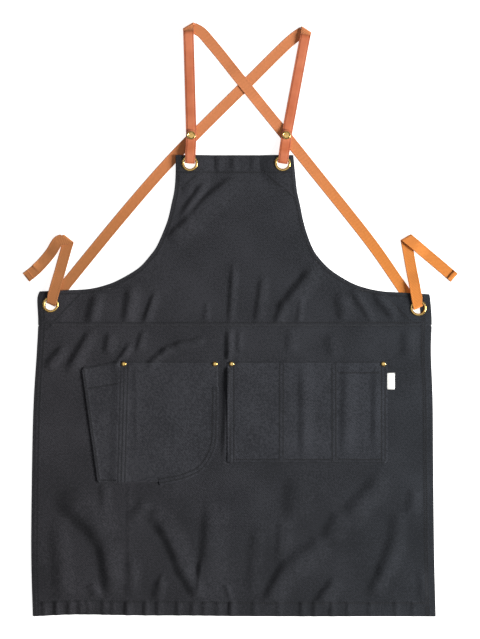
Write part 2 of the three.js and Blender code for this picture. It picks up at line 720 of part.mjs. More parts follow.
function eyeletProfile({ back, front }) {
  const hole = EYELET_HOLE / 2;
  const backOuter = EYELET_OUTER / 2 - BACK_INSET;
  return [
    [hole, back],
    [backOuter, back],
    [backOuter, back + EYELET_BACK_THICK],
    [TUBE_OUTER, back + EYELET_BACK_THICK],
    [TUBE_OUTER, front],
    ...frontPoints(EYELET_FRONT, hole, EYELET_OUTER / 2, front, EYELET_FRONT_THICK),
    [hole, back],
  ];
}

function snapProfile() {
  return [
    [0, snapDisc],
    [SNAP_DISC / 2, snapDisc],
    [SNAP_DISC / 2, snapDisc + SNAP_DISC_THICK],
    [SNAP_POST / 2, snapDisc + SNAP_DISC_THICK],
    [SNAP_POST / 2, snapCap],
    ...frontPoints(SNAP_FRONT, 0, SNAP_CAP / 2, snapCap, SNAP_CAP_THICK),
  ];
}

function rivetProfile(under) {
  const backOuter = RIVET_CAP / 2 - BACK_INSET;
  const back = under - GAP - RIVET_BACK_THICK;
  const front = under + pocketHigh + GAP;
  return [
    [0, back],
    [backOuter, back],
    [backOuter, back + RIVET_BACK_THICK],
    [RIVET_POST / 2, back + RIVET_BACK_THICK],
    [RIVET_POST / 2, front],
    ...frontPoints(RIVET_FRONT, 0, RIVET_CAP / 2, front, RIVET_CAP_THICK),
  ];
}

for (const side of SIDES) {
  const { bibEyelet, waistEyelet, snap } = places[side];
  addPiece(`eyelet_bib_${side}`, turned(eyeletProfile(bibStack), bibEyelet, METAL_SIDES), 'brass');
  addPiece(`eyelet_waist_${side}`, turned(eyeletProfile(waistStack), waistEyelet, METAL_SIDES), 'brass');
  addPiece(`strap_snap_${side}`, turned(snapProfile(), snap, METAL_SIDES), 'brass');
}
for (const [name, place] of Object.entries(rivetPlaces)) {
  addPiece(name, turned(rivetProfile(clothUnder(place.x, place.y)), place, RIVET_SIDES), 'brass');
}

// Straps. A strap is a list of stations along its middle. Each has a point, the direction
// of its crosswise line, the direction of its face, half its width and its thickness.

const UP = new THREE.Vector3(0, 0, 1);
const flat3 = (v, z = 0) => new THREE.Vector3(v.x, v.y, z);

function station(point, level, line, face, half, thick) {
  return { point: flat3(point, level), line: flat3(line), face: face.clone(), half, thick };
}

// A straight or curved run with crosswise lines square to it. faceSign is 1 where the
// strap's first face looks up. bedAt gives the height of the strap's underside.
function run(points, bedAt, width, thick, faceSign) {
  return points.map((point, i) => {
    const before = points[Math.max(i - 1, 0)];
    const after = points[Math.min(i + 1, points.length - 1)];
    const way = after.clone().sub(before).normalize();
    const line = new THREE.Vector2(way.y, -way.x).multiplyScalar(faceSign);
    const face = UP.clone().multiplyScalar(faceSign);
    return station(point, bedAt(point, i) + thick / 2, line, face, width / 2, thick);
  });
}

function straight(from, to) {
  const count = Math.max(Math.round(from.distanceTo(to) / STATION_SPACING), 2);
  return Array.from({ length: count + 1 }, (_, i) => from.clone().lerp(to, i / count));
}

// A half turn round a crease. edge is where the fold's outside reaches, and slide is 1
// where the strap runs on along the crease as it wraps, as an oblique fold does.
const FOLD_STEPS = 6;
function halfTurn({ edge, inHeading, crease, inLevel, outLevel, half, thick, faceSign, slide }) {
  const way = heading(inHeading);
  let line = heading(crease);
  const right = new THREE.Vector2(way.y, -way.x).multiplyScalar(faceSign);
  if (line.dot(right) < 0) line = line.negate();
  let over = new THREE.Vector2(-line.y, line.x);
  if (over.dot(way) < 0) over = over.negate();
  const radius = Math.abs(outLevel - inLevel) / 2;
  const middle = (inLevel + outLevel) / 2;
  const rising = inLevel > outLevel ? 1 : -1;
  const axis = along(edge, over, -(radius + thick / 2));
  const drift = (slide * way.dot(line)) / way.dot(over);
  const stations = [];
  for (let i = 0; i <= FOLD_STEPS; i += 1) {
    const turn = (Math.PI * i) / FOLD_STEPS;
    const slid = drift * radius * (turn - Math.PI / 2);
    const point = along(along(axis, over, radius * Math.sin(turn)), line, slid);
    const face = flat3(over, 0).multiplyScalar(Math.sin(turn));
    face.addScaledVector(UP, rising * Math.cos(turn)).multiplyScalar(faceSign * rising);
    stations.push(station(point, middle + rising * radius * Math.cos(turn), line, face, half, thick));
  }
  return stations;
}

// The closed body of a strap, four corners at each station
function strapSolid(stations) {
  const points = [];
  for (const { point, line, face, half, thick } of stations) {
    for (const [across, up] of [[-1, 1], [1, 1], [1, -1], [-1, -1]]) {
      const corner = point.clone().addScaledVector(line, across * half);
      points.push(corner.addScaledVector(face, (up * thick) / 2));
    }
  }
  const faces = [0, 1, 2, 0, 2, 3];
  for (let i = 0; i + 1 < stations.length; i += 1) {
    for (let k = 0; k < 4; k += 1) {
      const a = i * 4 + k;
      const b = i * 4 + ((k + 1) % 4);
      faces.push(a, a + 4, b + 4, a, b + 4, b);
    }
  }
  const last = (stations.length - 1) * 4;
  faces.push(last, last + 2, last + 1, last, last + 3, last + 2);
  const geometry = new THREE.BufferGeometry().setFromPoints(points);
  geometry.setIndex(faces);
  return outwardSolid(geometry);
}

const degreesOf = (vector) => THREE.MathUtils.radToDeg(Math.atan2(vector.y, vector.x));

// Half the length of the crease where a strap turns from one heading to another
const foldHalf = (width, from, to) => width / 2 / Math.abs(
  Math.sin(THREE.MathUtils.degToRad((from - to) / 2)));

const HOLE_HALF = EYELET_HOLE / 2 - HOLE_SIDE_PLAY;
const HOLE_PASS = 0.5;
const NARROWING = 4;
const FOLD_ROOM = 0.9;
const ringClear = EYELET_OUTER / 2 + 2;
const snapClear = SNAP_CAP / 2 + 1;

function makeLeather(side) {
  const { bibEyelet, snap, shoulder } = places[side];
  const tabWay = bibEyelet.clone().sub(snap).normalize();
  const tabEnd = along(snap, tabWay, -TAB_LENGTH_PAST_SNAP);
  const holeEdge = along(bibEyelet, tabWay, HOLE_PASS);
  const frontMiddle = bibStack.strapFront + LEATHER / 2;
  const backMiddle = bibStack.strapBed + LEATHER / 2;
  const wrap = (frontMiddle - backMiddle) / 2 + LEATHER / 2;
  const snapToEye = snap.distanceTo(bibEyelet);
  const shoulderBed = LEATHER + 2 * SHOULDER_FOLD;

  const tabBed = (point) => {
    const fromEye = point.distanceTo(bibEyelet);
    const share = smooth((fromEye - ringClear) / (snapToEye - snapClear - ringClear));
    return bibStack.strapFront + (snapTab - bibStack.strapFront) * share;
  };
  const strapBed = (point) => {
    const fromEye = point.distanceTo(bibEyelet);
    const level = smooth((fromEye - ringClear) / (snapToEye - snapClear - ringClear));
    const pastSnap = smooth((fromEye - snapToEye - snapClear) / LEATHER_SLOPE);
    const held = bibStack.strapBed + (snapStrap - bibStack.strapBed) * level;
    const fromFold = point.distanceTo(shoulder) - LEATHER_WIDTH;
    const fold = shoulderBed * smooth(1 - fromFold / (2 * LEATHER_WIDTH));
    return Math.max(held * (1 - pastSnap), leatherBed(point.x, point.y), fold);
  };

  const backStart = along(bibEyelet, tabWay, -ringClear);
  const half = LEATHER_WIDTH / 2;
  const tabPoints = [
    ...TAB_END.map((share) => along(tabEnd, tabWay, share * half)),
    ...straight(along(tabEnd, tabWay, half), backStart),
  ];
  const tab = run(tabPoints, tabBed, LEATHER_WIDTH, LEATHER, 1);
  TAB_END.forEach((share, i) => {
    tab[i].half = half * Math.sqrt(1 - (1 - share) ** 2);
  });
  const narrowing = {
    ...tab[tab.length - 1],
    point: flat3(along(holeEdge, tabWay, -wrap - NARROWING), frontMiddle),
    half: HOLE_HALF,
  };

  const turn = halfTurn({
    edge: holeEdge,
    inHeading: degreesOf(tabWay),
    crease: degreesOf(tabWay) + 90,
    inLevel: frontMiddle,
    outLevel: backMiddle,
    half: HOLE_HALF,
    thick: LEATHER,
    faceSign: 1,
    slide: 0,
  });

  const lean = shoulder.clone().sub(snap).normalize();
  const foldStart = along(shoulder, lean, -FOLD_ROOM * LEATHER_WIDTH);
  const backPoints = [...straight(backStart, snap), ...straight(snap, foldStart).slice(1)];
  const back = run(backPoints, strapBed, LEATHER_WIDTH, LEATHER, -1);

  const inHeading = degreesOf(lean);
  const shoulderTurn = halfTurn({
    edge: shoulder,
    inHeading,
    crease: (inHeading + SHOULDERS[side].exit) / 2,
    inLevel: shoulderBed + LEATHER / 2,
    outLevel: LEATHER / 2,
    half: foldHalf(LEATHER_WIDTH, inHeading, SHOULDERS[side].exit),
    thick: LEATHER,
    faceSign: -1,
    slide: 1,
  });
  const strap = strapSolid([...tab, narrowing, ...turn, ...back, ...shoulderTurn]);
  return cutHoles(strap, [snap], SNAP_POST / 2 + GAP, RIVET_SIDES);
}

function makeWebbing(side) {
  const waist = otherSide[side];
  const tie = TIES[waist];
  const eyelet = places[waist].waistEyelet;
  const lean = places[side].shoulder.clone().sub(places[side].snap).normalize();
  const shoulderCrease = (degreesOf(lean) + SHOULDERS[side].exit) / 2;
  const points = routes[side].getSpacedPoints(ROUTE_STEPS);
  const arrival = degreesOf(points[ROUTE_STEPS].clone().sub(points[ROUTE_STEPS - 2]));
  const bed = (point) => webbingBed[side](point.x, point.y);

  const approachPoints = points.filter((point) => point.distanceTo(eyelet) > ringClear);
  const approach = run(approachPoints, bed, WEBBING_WIDTH, WEBBING, 1);
  const startLine = heading(shoulderCrease);
  if (startLine.dot(new THREE.Vector2(approach[0].line.x, approach[0].line.y)) < 0) startLine.negate();
  approach[0].line = flat3(startLine);
  approach[0].half = WEBBING_WIDTH / 2 / Math.abs(startLine.dot(heading(SHOULDERS[side].exit + 90)));

  const frontMiddle = waistStack.strapFront + WEBBING / 2;
  const firstWay = heading(tie.first);
  const holeCrease = (arrival + tie.first) / 2;
  let holeOver = heading(holeCrease + 90);
  if (holeOver.dot(heading(arrival)) < 0) holeOver = holeOver.negate();
  const holeTurn = halfTurn({
    edge: along(eyelet, holeOver, HOLE_PASS),
    inHeading: arrival,
    crease: holeCrease,
    inLevel: WEBBING / 2,
    outLevel: frontMiddle,
    half: HOLE_HALF,
    thick: WEBBING,
    faceSign: 1,
    slide: 0,
  });

  const foldEdge = along(eyelet, firstWay, tie.firstLength * STRAP_REACH);
  const foldRoom = FOLD_ROOM * WEBBING_WIDTH;
  const firstPoints = straight(
    along(eyelet, firstWay, ringClear), along(foldEdge, firstWay, -foldRoom));
  const firstBed = (point) => {
    const pastEdge = point.distanceTo(eyelet) - tie.drop * WAIST_BAND - WEBBING_WIDTH / 2;
    const fall = smooth(pastEdge / (2 * WEBBING_WIDTH));
    const overOwn = WEBBING_STEP * overLine(
      point.x, point.y, routeLines[side], CROSS_FLAT, CROSS_SLOPE);
    return Math.max(waistStack.strapFront * (1 - fall), overOwn);
  };
  const first = run(firstPoints, firstBed, WEBBING_WIDTH, WEBBING, -1);

  const foldBed = WEBBING + 2 * TIE_FOLD;
  const tieTurn = halfTurn({
    edge: foldEdge,
    inHeading: tie.first,
    crease: (tie.first + tie.second) / 2,
    inLevel: WEBBING / 2,
    outLevel: foldBed + WEBBING / 2,
    half: foldHalf(WEBBING_WIDTH, tie.first, tie.second),
    thick: WEBBING,
    faceSign: -1,
    slide: 1,
  });

  const lastWay = heading(tie.last);
  const secondStart = along(foldEdge, heading(tie.second), foldRoom);
  const secondLength = tie.secondLength * STRAP_REACH;
  const end = along(foldEdge, heading((tie.second + tie.last) / 2), secondLength);
  const hemStart = along(end, lastWay, -TIE_END_HEM);
  const bend = along(hemStart, lastWay, -hemStart.distanceTo(secondStart) / 2);
  const secondBed = (point) => {
    const share = smooth((point.distanceTo(foldEdge) - 2 * WEBBING_WIDTH) / (2 * WEBBING_WIDTH));
    return foldBed * (1 - share);
  };
  const secondCurve = new THREE.QuadraticBezierCurve(secondStart, bend, hemStart);
  const secondSteps = Math.round(secondCurve.getLength() / STATION_SPACING);
  const second = run(secondCurve.getPoints(secondSteps), secondBed, WEBBING_WIDTH, WEBBING, 1);
  const endHem = run(
    [along(hemStart, lastWay, GAP), end], secondBed, WEBBING_WIDTH, 2 * WEBBING, 1);
  return strapSolid([...approach, ...holeTurn, ...first, ...tieTurn, ...second, ...endHem]);
}

for (const side of SIDES) {
  addPiece(`leather_strap_${side}`, geometryOf(makeLeather(side)), 'leather');
  addPiece(`webbing_strap_${side}`, geometryOf(makeWebbing(side)), 'webbing');
}

// The origin is under the middle of the whole apron, on the surface that it lies on
const box = new THREE.Box3().setFromObject(apron);
apron.position.set(-(box.min.x + box.max.x) / 2, -(box.min.y + box.max.y) / 2, -box.min.z);

const scene = new THREE.Group();
scene.add(apron);

export default scene;
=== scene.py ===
# %% [markdown]
# # A cotton apron, laid flat
# The solid model has the apron's sizes: two cloth panels, three pockets, brass eyelets,
# leather shoulder straps and cotton webbing. This lesson lays finer cloth, straps and
# metal over those solids, stitches them and lights them from the right, as a flat-lay
# picture is lit. Every length is in millimetres until a mesh is made, and then in metres.

# %% The frame that every piece is built on
import math

import bmesh
import bpy
import numpy as np
from mathutils import Matrix, Vector


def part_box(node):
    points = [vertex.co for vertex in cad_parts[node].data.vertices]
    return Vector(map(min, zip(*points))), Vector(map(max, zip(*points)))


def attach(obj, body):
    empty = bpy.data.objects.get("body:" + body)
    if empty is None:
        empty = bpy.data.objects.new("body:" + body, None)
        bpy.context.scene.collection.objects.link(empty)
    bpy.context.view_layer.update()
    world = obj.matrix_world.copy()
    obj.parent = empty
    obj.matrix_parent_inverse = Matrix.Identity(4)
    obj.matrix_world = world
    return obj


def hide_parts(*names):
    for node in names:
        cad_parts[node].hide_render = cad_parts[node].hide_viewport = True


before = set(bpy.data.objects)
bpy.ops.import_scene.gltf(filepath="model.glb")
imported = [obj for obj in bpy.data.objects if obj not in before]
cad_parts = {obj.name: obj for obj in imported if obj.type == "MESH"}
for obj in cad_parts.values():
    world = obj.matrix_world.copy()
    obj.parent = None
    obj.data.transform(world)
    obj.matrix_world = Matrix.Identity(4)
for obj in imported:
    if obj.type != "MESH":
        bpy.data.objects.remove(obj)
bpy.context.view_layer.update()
print("solids:", len(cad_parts))

# %% [markdown]
# ## The apron's own sizes
# A sewer starts from the cut sizes. X runs across the apron from its middle, Y from the
# hem up to the bib, and Z up from the table. The names follow the pieces of the apron.

# %% Sizes of the cloth, the metal and the straps
SKIRT_LENGTH = 522.0
WAIST_BAND = 59.0
BIB_HEIGHT = 247.5
HEM_WIDTH = 726.0
WAIST_WIDTH = 701.0
BIB_TOP_WIDTH = 212.0
WAIST_TILT = 5.0
CLOTH = 1.0
GAP = 0.3
SIDE_HEM = 12.0
BOTTOM_HEM = 26.0
ARMHOLE_HEM = 7.0
BIB_FACING = 31.0
SEAM_ALLOWANCE = 10.0
SEAM_Y = SKIRT_LENGTH
WAIST_Y = SEAM_Y + WAIST_BAND
TOP_Y = WAIST_Y + BIB_HEIGHT
CLOTH_STEP = CLOTH + GAP

POCKET_TOP = SEAM_Y - 65.0
POCKET_SPLIT_X = -20.0
POCKET_SPLIT = 19.0
RIGHT_POCKET = (284.0, 182.0)
LEFT_POCKET = (175.0, 217.0)
TOOL_POCKET_MOUTH = 69.0
TOOL_POCKET_FOOT = 35.0
TOOL_POCKET_SLANT = 12.0
POCKET_LEAN = 6.0
LABEL = (14.5, 30.0)
LABEL_DROP = 20.0

EYELET_HOLE = 20.0
EYELET_OUTER = 29.0
BIB_EYELET_DROP = 15.0
WAIST_EYELET_INSET = 20.0
SNAP_CAP = 15.0
SNAP_RISE = 35.0
RIVET_CAP = 9.0
RIVET_INSET = 5.5
RIVET_DROP = 4.2

LEATHER_WIDTH = 19.0
LEATHER = 2.0
WEBBING_WIDTH = 20.0
WEBBING = 1.5
WEBBING_STEP = WEBBING + GAP
STRAP_REACH = 242.0
SIDES = ("left", "right")
OUTWARD = {"left": -1.0, "right": 1.0}
OTHER = {"left": "right", "right": "left"}
print("apron length, mm:", TOP_Y)

# %% Small helpers for plane geometry
def smooth(share):
    share = np.clip(share, 0, 1)
    return share * share * (3 - 2 * share)


def heading(degrees):
    return np.array((math.cos(math.radians(degrees)), math.sin(math.radians(degrees))))


def degrees_of(way):
    return math.degrees(math.atan2(way[1], way[0]))


def unit(way):
    return way / np.linalg.norm(way)


def spline(points, per_span=10):
    """A smooth line through the points."""
    points = np.array(points, dtype=float)
    last = len(points) - 1
    line = []
    for i in range(last):
        before, start, end, after = (points[min(max(k, 0), last)] for k in (i - 1, i, i + 1, i + 2))
        for t in np.arange(per_span) / per_span:
            slope_in = (end - before) / 2
            slope_out = (after - start) / 2
            line.append(
                (2 * start - 2 * end + slope_in + slope_out) * t ** 3
                + (3 * end - 3 * start - 2 * slope_in - slope_out) * t ** 2
                + slope_in * t + start)
    return np.array(line + [points[last]])


def evenly(line, count):
    """The same line with count + 1 points, evenly spaced along it."""
    run = np.concatenate([[0], np.cumsum(np.linalg.norm(np.diff(line, axis=0), axis=1))])
    stops = np.linspace(0, run[-1], count + 1)
    return np.stack([np.interp(stops, run, line[:, k]) for k in range(line.shape[1])], axis=1)


def length_of(line):
    return float(np.linalg.norm(np.diff(line, axis=0), axis=1).sum())


def distance_to(line, x, y):
    nearest = np.full(np.shape(x), 1e9)
    for a, b in zip(line[:-1], line[1:]):
        side = b - a
        share = ((x - a[0]) * side[0] + (y - a[1]) * side[1]) / max(side @ side, 1e-9)
        share = np.clip(share, 0, 1)
        nearest = np.minimum(nearest, np.hypot(x - a[0] - side[0] * share, y - a[1] - side[1] * share))
    return nearest


def over_line(line, x, y, flat, slope):
    """1 on the line and within flat of it, falling to 0 over the slope beside it."""
    return 1 - smooth((distance_to(line, x, y) - flat) / slope)

# %% [markdown]
# ## Where the straps and the metal are
# The straps decide how high the cloth lies, so their routes come first. Each webbing
# strap starts under a leather strap at the shoulder, bows a little and ends in the eyelet
# of the other waist corner. A tie is two legs: up from the eyelet to a fold, then back
# down to the free end.

# %% Places of the straps and eyelets
# eyelet, snap and shoulder are shares of the bib's top width, height is a share of the
# straps' reach, and exit is the webbing's heading in degrees
SHOULDERS = {
    "left": {"eyelet": -0.378, "snap": -0.366, "shoulder": -0.392, "height": 0.965, "exit": -30},
    "right": {"eyelet": 0.408, "snap": 0.441, "shoulder": 0.611, "height": 0.936, "exit": 215},
}
# along and bow are shares of the straight line from the shoulder to the waist eyelet
BOWS = {
    "left": [(0.03, 0.0135), (0.064, 0.0155), (0.12, 0.0162), (0.2, 0.0152), (0.382, 0.0152),
             (0.501, 0.0145), (0.771, 0.0122), (0.943, 0.0)],
    "right": [(0.055, -0.0103), (0.2145, -0.0173), (0.4, -0.0253), (0.544, -0.0266),
              (0.7255, -0.0196), (0.952, -0.0052)],
}
# drop is a share of the waist band and the lengths are shares of the straps' reach. first,
# leaves, second and last are headings in degrees: of the first leg, out of the fold, and at
# the second leg's two ends. bow is as in BOWS for the second leg, fold its loop's radius and
# kink a buckle's height in mm
TIES = {
    "left": {
        "drop": 0.36, "first": 74.6, "first_length": 0.511, "fold": 2.3, "leaves": 209,
        "second": 226.7, "last": 218, "second_length": 0.433, "kink": 3.6,
        "bow": [(0.155, -0.08), (0.275, -0.062), (0.372, -0.034), (0.572, -0.003), (0.766, 0.012)]},
    "right": {
        "drop": 0.466, "first": 100, "first_length": 0.536, "fold": 1.5, "leaves": -39,
        "second": -39, "last": -41, "second_length": 0.472, "kink": 0.0,
        "bow": [(0.35, 0.004), (0.65, 0.004)]},
}
places = {}
for side in SIDES:
    strap = SHOULDERS[side]
    places[side] = {
        "bib_eyelet": np.array((strap["eyelet"] * BIB_TOP_WIDTH, TOP_Y - BIB_EYELET_DROP)),
        "snap": np.array((strap["snap"] * BIB_TOP_WIDTH, TOP_Y + SNAP_RISE)),
        "shoulder": np.array((strap["shoulder"] * BIB_TOP_WIDTH, TOP_Y + strap["height"] * STRAP_REACH)),
        "waist_eyelet": np.array((
            OUTWARD[side] * (WAIST_WIDTH / 2 - WAIST_EYELET_INSET),
            WAIST_Y - TIES[side]["drop"] * WAIST_BAND)),
    }
print("snaps, mm:", [places[side]["snap"].round(1) for side in SIDES])

# %% Routes of the webbing
LEATHER_UNDERLAP = 4.0


def webbing_route(side):
    start = places[side]["shoulder"] + heading(SHOULDERS[side]["exit"]) * LEATHER_UNDERLAP
    end = places[OTHER[side]]["waist_eyelet"]
    chord = end - start
    across = np.array((-chord[1], chord[0]))
    knots = [start] + [start + chord * along + across * bow for along, bow in BOWS[side]] + [end]
    return spline(knots, 16)


routes = {side: evenly(webbing_route(side), 90) for side in SIDES}
print("webbing runs, mm:", {side: round(length_of(routes[side])) for side in SIDES})

# %% Where the design's own zero lies in the frame
low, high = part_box("eyelet_waist_left")
middle_of_solid = 1000 * (np.array(low) + np.array(high)) / 2
SHIFT = np.append(middle_of_solid[:2] - places["left"]["waist_eyelet"], 0.0)


def to_metres(points):
    return (np.asarray(points, dtype=float) + SHIFT) / 1000


print("shift, mm:", SHIFT.round(2))

# %% [markdown]
# ## How high the cloth lies
# Cloth on a table is flat only in part. It climbs over the webbing and the eyelets,
# stands up in soft folds where it was creased, and is drawn into small puckers along
# every hem. One function of X and Y gives its height, so the panels, the pockets, the
# stitching and the metal all agree about it. A fold is steep on the side that turns away
# from the light and long on the side that faces it, which is how a fold pushed across a
# table settles.

# %% Folds, one row each
# x1, y1, x2, y2 is the line where the shaded side is steepest, bow its bend towards the
# light, tall its height, and shade and lit the widths of its two sides, all in mm
FOLDS = [
    (-8, 789, -87, 716, -4, 4.7, 12, 39),
    (-84, 717, -120, 685, 0, 4.4, 12, 34),
    (-57, 782, -98, 723, 0, 3.8, 10, 13),
    (-80, 788, -94, 762, 0, 1.9, 11, 16),
    (136, 627, 84, 562, 0, 5.6, 16, 29),
    (84, 566, 71, 528, 0, 3.5, 12, 16),
    (46, 609, 35, 528, 0, 2.8, 10, 18),
    (-6, 626, -12, 528, 0, 2.8, 8, 12),
    (116, 570, 111, 528, 0, 2.1, 8, 10),
    (181, 577, 190, 528, 0, 3.5, 18, 21),
    (210, 580, 242, 530, 0, 3.0, 10, 13),
    (249, 572, 284, 532, 0, 4.4, 13, 18),
    (-253, 579, -267, 528, 0, 4.8, 16, 18),
    (-192, 590, -201, 528, 0, 4.6, 15, 21),
    (-147, 580, -165, 528, 0, 3.4, 7, 14),
    (-53, 562, -57, 528, 0, 1.4, 8, 10),
    (-264, 512, -302, 446, 0, 4.7, 12, 20),
    (-310, 489, -341, 451, 0, 4.0, 12, 16),
    (-230, 507, -235, 474, 0, 3.6, 12, 18),
    (-168, 512, -177, 478, 0, 2.7, 6, 16),
    (-190, 490, -213, 456, 0, 3.4, 8, 10),
    (-58, 500, -102, 492, 0, 3.4, 8, 14),
    (-96, 494, -130, 480, 0, 3.9, 8, 14),
    (-125, 482, -156, 456, 0, 3.4, 8, 14),
    (-14, 512, -14, 458, 0, 3.8, 7, 12),
    (6, 512, 3, 474, 0, 1.7, 6, 10),
    (96, 514, 93, 478, 0, 1.9, 13, 18),
    (163, 500, 172, 464, 0, 2.2, 16, 21),
    (303, 514, 302, 464, 0, 2.8, 18, 23),
    (-14, 460, -22, 287, 0, 3.2, 7, 8),
    (-179, 449, -179, 298, 0, 0.8, 5, 7),
    (118, 446, 118, 289, 0, 2.5, 13, 23),
    (195, 446, 192, 294, 0, 2.4, 13, 23),
    (249, 438, 248, 305, 0, 2.2, 11, 18),
    (-318, 197, -244, 127, 6, 9.4, 29, 48),
    (-244, 129, -230, 40, 0, 6.8, 21, 34),
    (-328, 163, -321, 37, 0, 3.8, 23, 28),
    (-192, 104, -195, 42, 0, 3.1, 16, 20),
    (-192, 235, -192, 100, 0, 0.8, 5, 5),
    (-156, 179, -129, 145, 0, 3.1, 18, 28),
    (-138, 161, -102, 78, 3, 5.9, 18, 34),
    (-102, 82, -73, 32, 0, 5.5, 17, 22),
    (-53, 194, -68, 42, 2, 4.7, 20, 42),
    (-62, 100, -68, 46, 0, 1.8, 5, 6),
    (-132, 76, -140, 55, 0, 1.8, 4, 10),
    (-138, 64, -147, 32, 0, 3.6, 16, 14),
    (-242, 235, -240, 188, 0, 2.4, 13, 17),
    (-165, 208, -192, 179, 0, 2.8, 16, 20),
    (-19, 55, -10, 28, 0, 1.7, 8, 8),
    (-264, 55, -253, 32, 0, 2.8, 16, 11),
    (96, 244, 94, 177, 0, 3.8, 29, 42),
    (87, 96, 53, 35, 0, 5.5, 17, 34),
    (181, 188, 158, 143, 0, 4.0, 21, 34),
    (152, 143, 89, 96, 0, 5.4, 23, 36),
    (255, 255, 197, 188, 0, 5.0, 23, 34),
    (177, 68, 145, 30, 0, 4.3, 13, 25),
    (284, 181, 280, 136, 0, 2.8, 21, 22),
    (282, 140, 258, 80, 0, 4.7, 21, 28),
    (262, 89, 240, 44, 0, 3.8, 18, 22),
    (316, 226, 310, 188, 0, 2.5, 18, 17),
    (32, 154, 22, 46, 0, 1.9, 16, 22),
    (80, 172, 75, 100, 0, 2.0, 13, 25),
    (330, 78, 334, 32, 0, 1.9, 13, 11),
]
# Puckers across the stitched bands of the hem and the facing: X and height in mm
HEM_PUCKERS = [
    (-346, 2.1), (-323, 3.1), (-300, 2.5), (-280, 1.8), (-267, 1.6), (-238, 2.1), (-222, 1.4),
    (-196, 3.1), (-163, 2.5), (-140, 2.2), (-105, 2.1), (-78, 1.7), (-57, 1.7), (-33, 1.6), (-9, 2.9),
    (32, 1.6), (76, 1.3), (118, 2.0), (141, 1.8), (172, 2.1), (201, 1.3), (240, 1.4), (287, 1.3),
    (318, 1.2),
]
FACING_PUCKERS = [(-57, 1.0), (-34, 1.9), (-6, 1.9), (30, 1.6), (56, 1.7)]
LIGHT_WAY = unit(np.array((1.0, -0.1)))
print("folds:", len(FOLDS))

# %% Height of the folds and the puckers
def ridge(side, shade, lit):
    """A fold's section: it climbs over its shaded side and settles over its lit one."""
    climb = smooth((side + shade / 2) / shade)
    settle = smooth(1 - (side - shade / 2) / lit)
    return np.where(side < shade / 2, climb, settle)


def fold_rise(x, y):
    total = np.zeros(np.shape(x))
    for x1, y1, x2, y2, bow, tall, shade, lit in FOLDS:
        start = np.array((x1, y1), dtype=float)
        way = np.array((x2, y2), dtype=float) - start
        to_light = unit(np.array((way[1], -way[0])))
        if to_light @ LIGHT_WAY < 0:
            to_light = -to_light
        t = ((x - x1) * way[0] + (y - y1) * way[1]) / (way @ way)
        side = (x - x1) * to_light[0] + (y - y1) * to_light[1] - 4 * bow * t * (1 - t)
        ends = smooth((t + 0.2) / 0.45) * smooth((1.2 - t) / 0.45)
        total += tall * ridge(side, shade, lit) * ends
    return total


def row_of_puckers(x, puckers, shade, lit):
    total = np.zeros(np.shape(x))
    for place, tall in puckers:
        total += tall * ridge(x - place, shade, lit)
    return total


def pucker_rise(x, y):
    hem_band = smooth((y + 5) / 8) * smooth((29 - y) / 7)
    facing_band = smooth((y - TOP_Y + BIB_FACING + 2) / 12) * smooth((TOP_Y + 3 - y) / 10)
    hem_puckers = row_of_puckers(x, HEM_PUCKERS, 5.0, 12.0)
    facing_puckers = row_of_puckers(x, FACING_PUCKERS, 11.0, 13.0)
    return hem_puckers * hem_band + facing_puckers * facing_band


print("fold's height at its middle, mm:", round(float(fold_rise(-281.0, 162.0)), 1))


def wander(x, y):
    """Wide, low unevenness, as cloth has even where it looks flat."""
    wide = np.sin(x / 47 + 1.3 + 0.8 * np.sin(y / 83)) * np.sin(y / 59 + 0.4)
    return 0.45 + 0.25 * wide + 0.2 * np.sin(x / 23 + y / 31)

# %% Height of the underside of the outer cloth
METAL_BACK = 0.8


def eyelet_levels(strap_bed, strap_thick):
    """Heights of an eyelet's back, of the cloth, of its front and of the strap on it."""
    back = strap_bed + strap_thick + GAP
    under = back + METAL_BACK + GAP + CLOTH_STEP
    front = under + CLOTH + GAP
    return {"bed": strap_bed, "back": back, "under": under, "front": front, "strap": front + 1.6 + GAP}


bib_levels = eyelet_levels(WEBBING_STEP, LEATHER)
waist_levels = eyelet_levels(0.0, WEBBING)
LEFT_END = POCKET_SPLIT_X - POCKET_SPLIT / 2
LEFT_START = LEFT_END - LEFT_POCKET[0]
RIGHT_START = POCKET_SPLIT_X + POCKET_SPLIT / 2
RIGHT_END = RIGHT_START + RIGHT_POCKET[0]
rivet_places = {
    name: np.array((x, POCKET_TOP - RIVET_DROP)) for name, x in (
        ("pocket_rivet_left_outer", LEFT_START + RIVET_INSET),
        ("pocket_rivet_left_inner", LEFT_END - RIVET_INSET),
        ("pocket_rivet_right_inner", RIGHT_START + RIVET_INSET),
        ("pocket_rivet_right_outer", RIGHT_END - RIVET_INSET))
}


def cloth_under(x, y):
    x = np.asarray(x, dtype=float)
    y = np.asarray(y, dtype=float)
    press = smooth(y / 22) * smooth(abs(y - SEAM_Y) / 9)
    for place in rivet_places.values():
        press = press * smooth((np.hypot(x - place[0], y - place[1]) - RIVET_CAP / 2 - 1) / 9)
    for side in SIDES:
        for name in ("bib_eyelet", "waist_eyelet"):
            centre = places[side][name]
            press = press * smooth((np.hypot(x - centre[0], y - centre[1]) - EYELET_OUTER / 2 - 2) / 16)
    under = CLOTH_STEP + (fold_rise(x, y) + wander(x, y)) * press + pucker_rise(x, y)
    for side in SIDES:
        lift = over_line(routes[side], x, y, WEBBING_WIDTH / 2 + 2, 22)
        under = np.maximum(under, CLOTH_STEP + WEBBING_STEP * lift)
        for name, levels in (("bib_eyelet", bib_levels), ("waist_eyelet", waist_levels)):
            centre = places[side][name]
            lift = 1 - smooth((np.hypot(x - centre[0], y - centre[1]) - EYELET_OUTER / 2 - 3) / 34)
            under = np.maximum(under, CLOTH_STEP + (levels["under"] - CLOTH_STEP) * lift)
    return under


def cloth_top(x, y):
    return cloth_under(x, y) + CLOTH


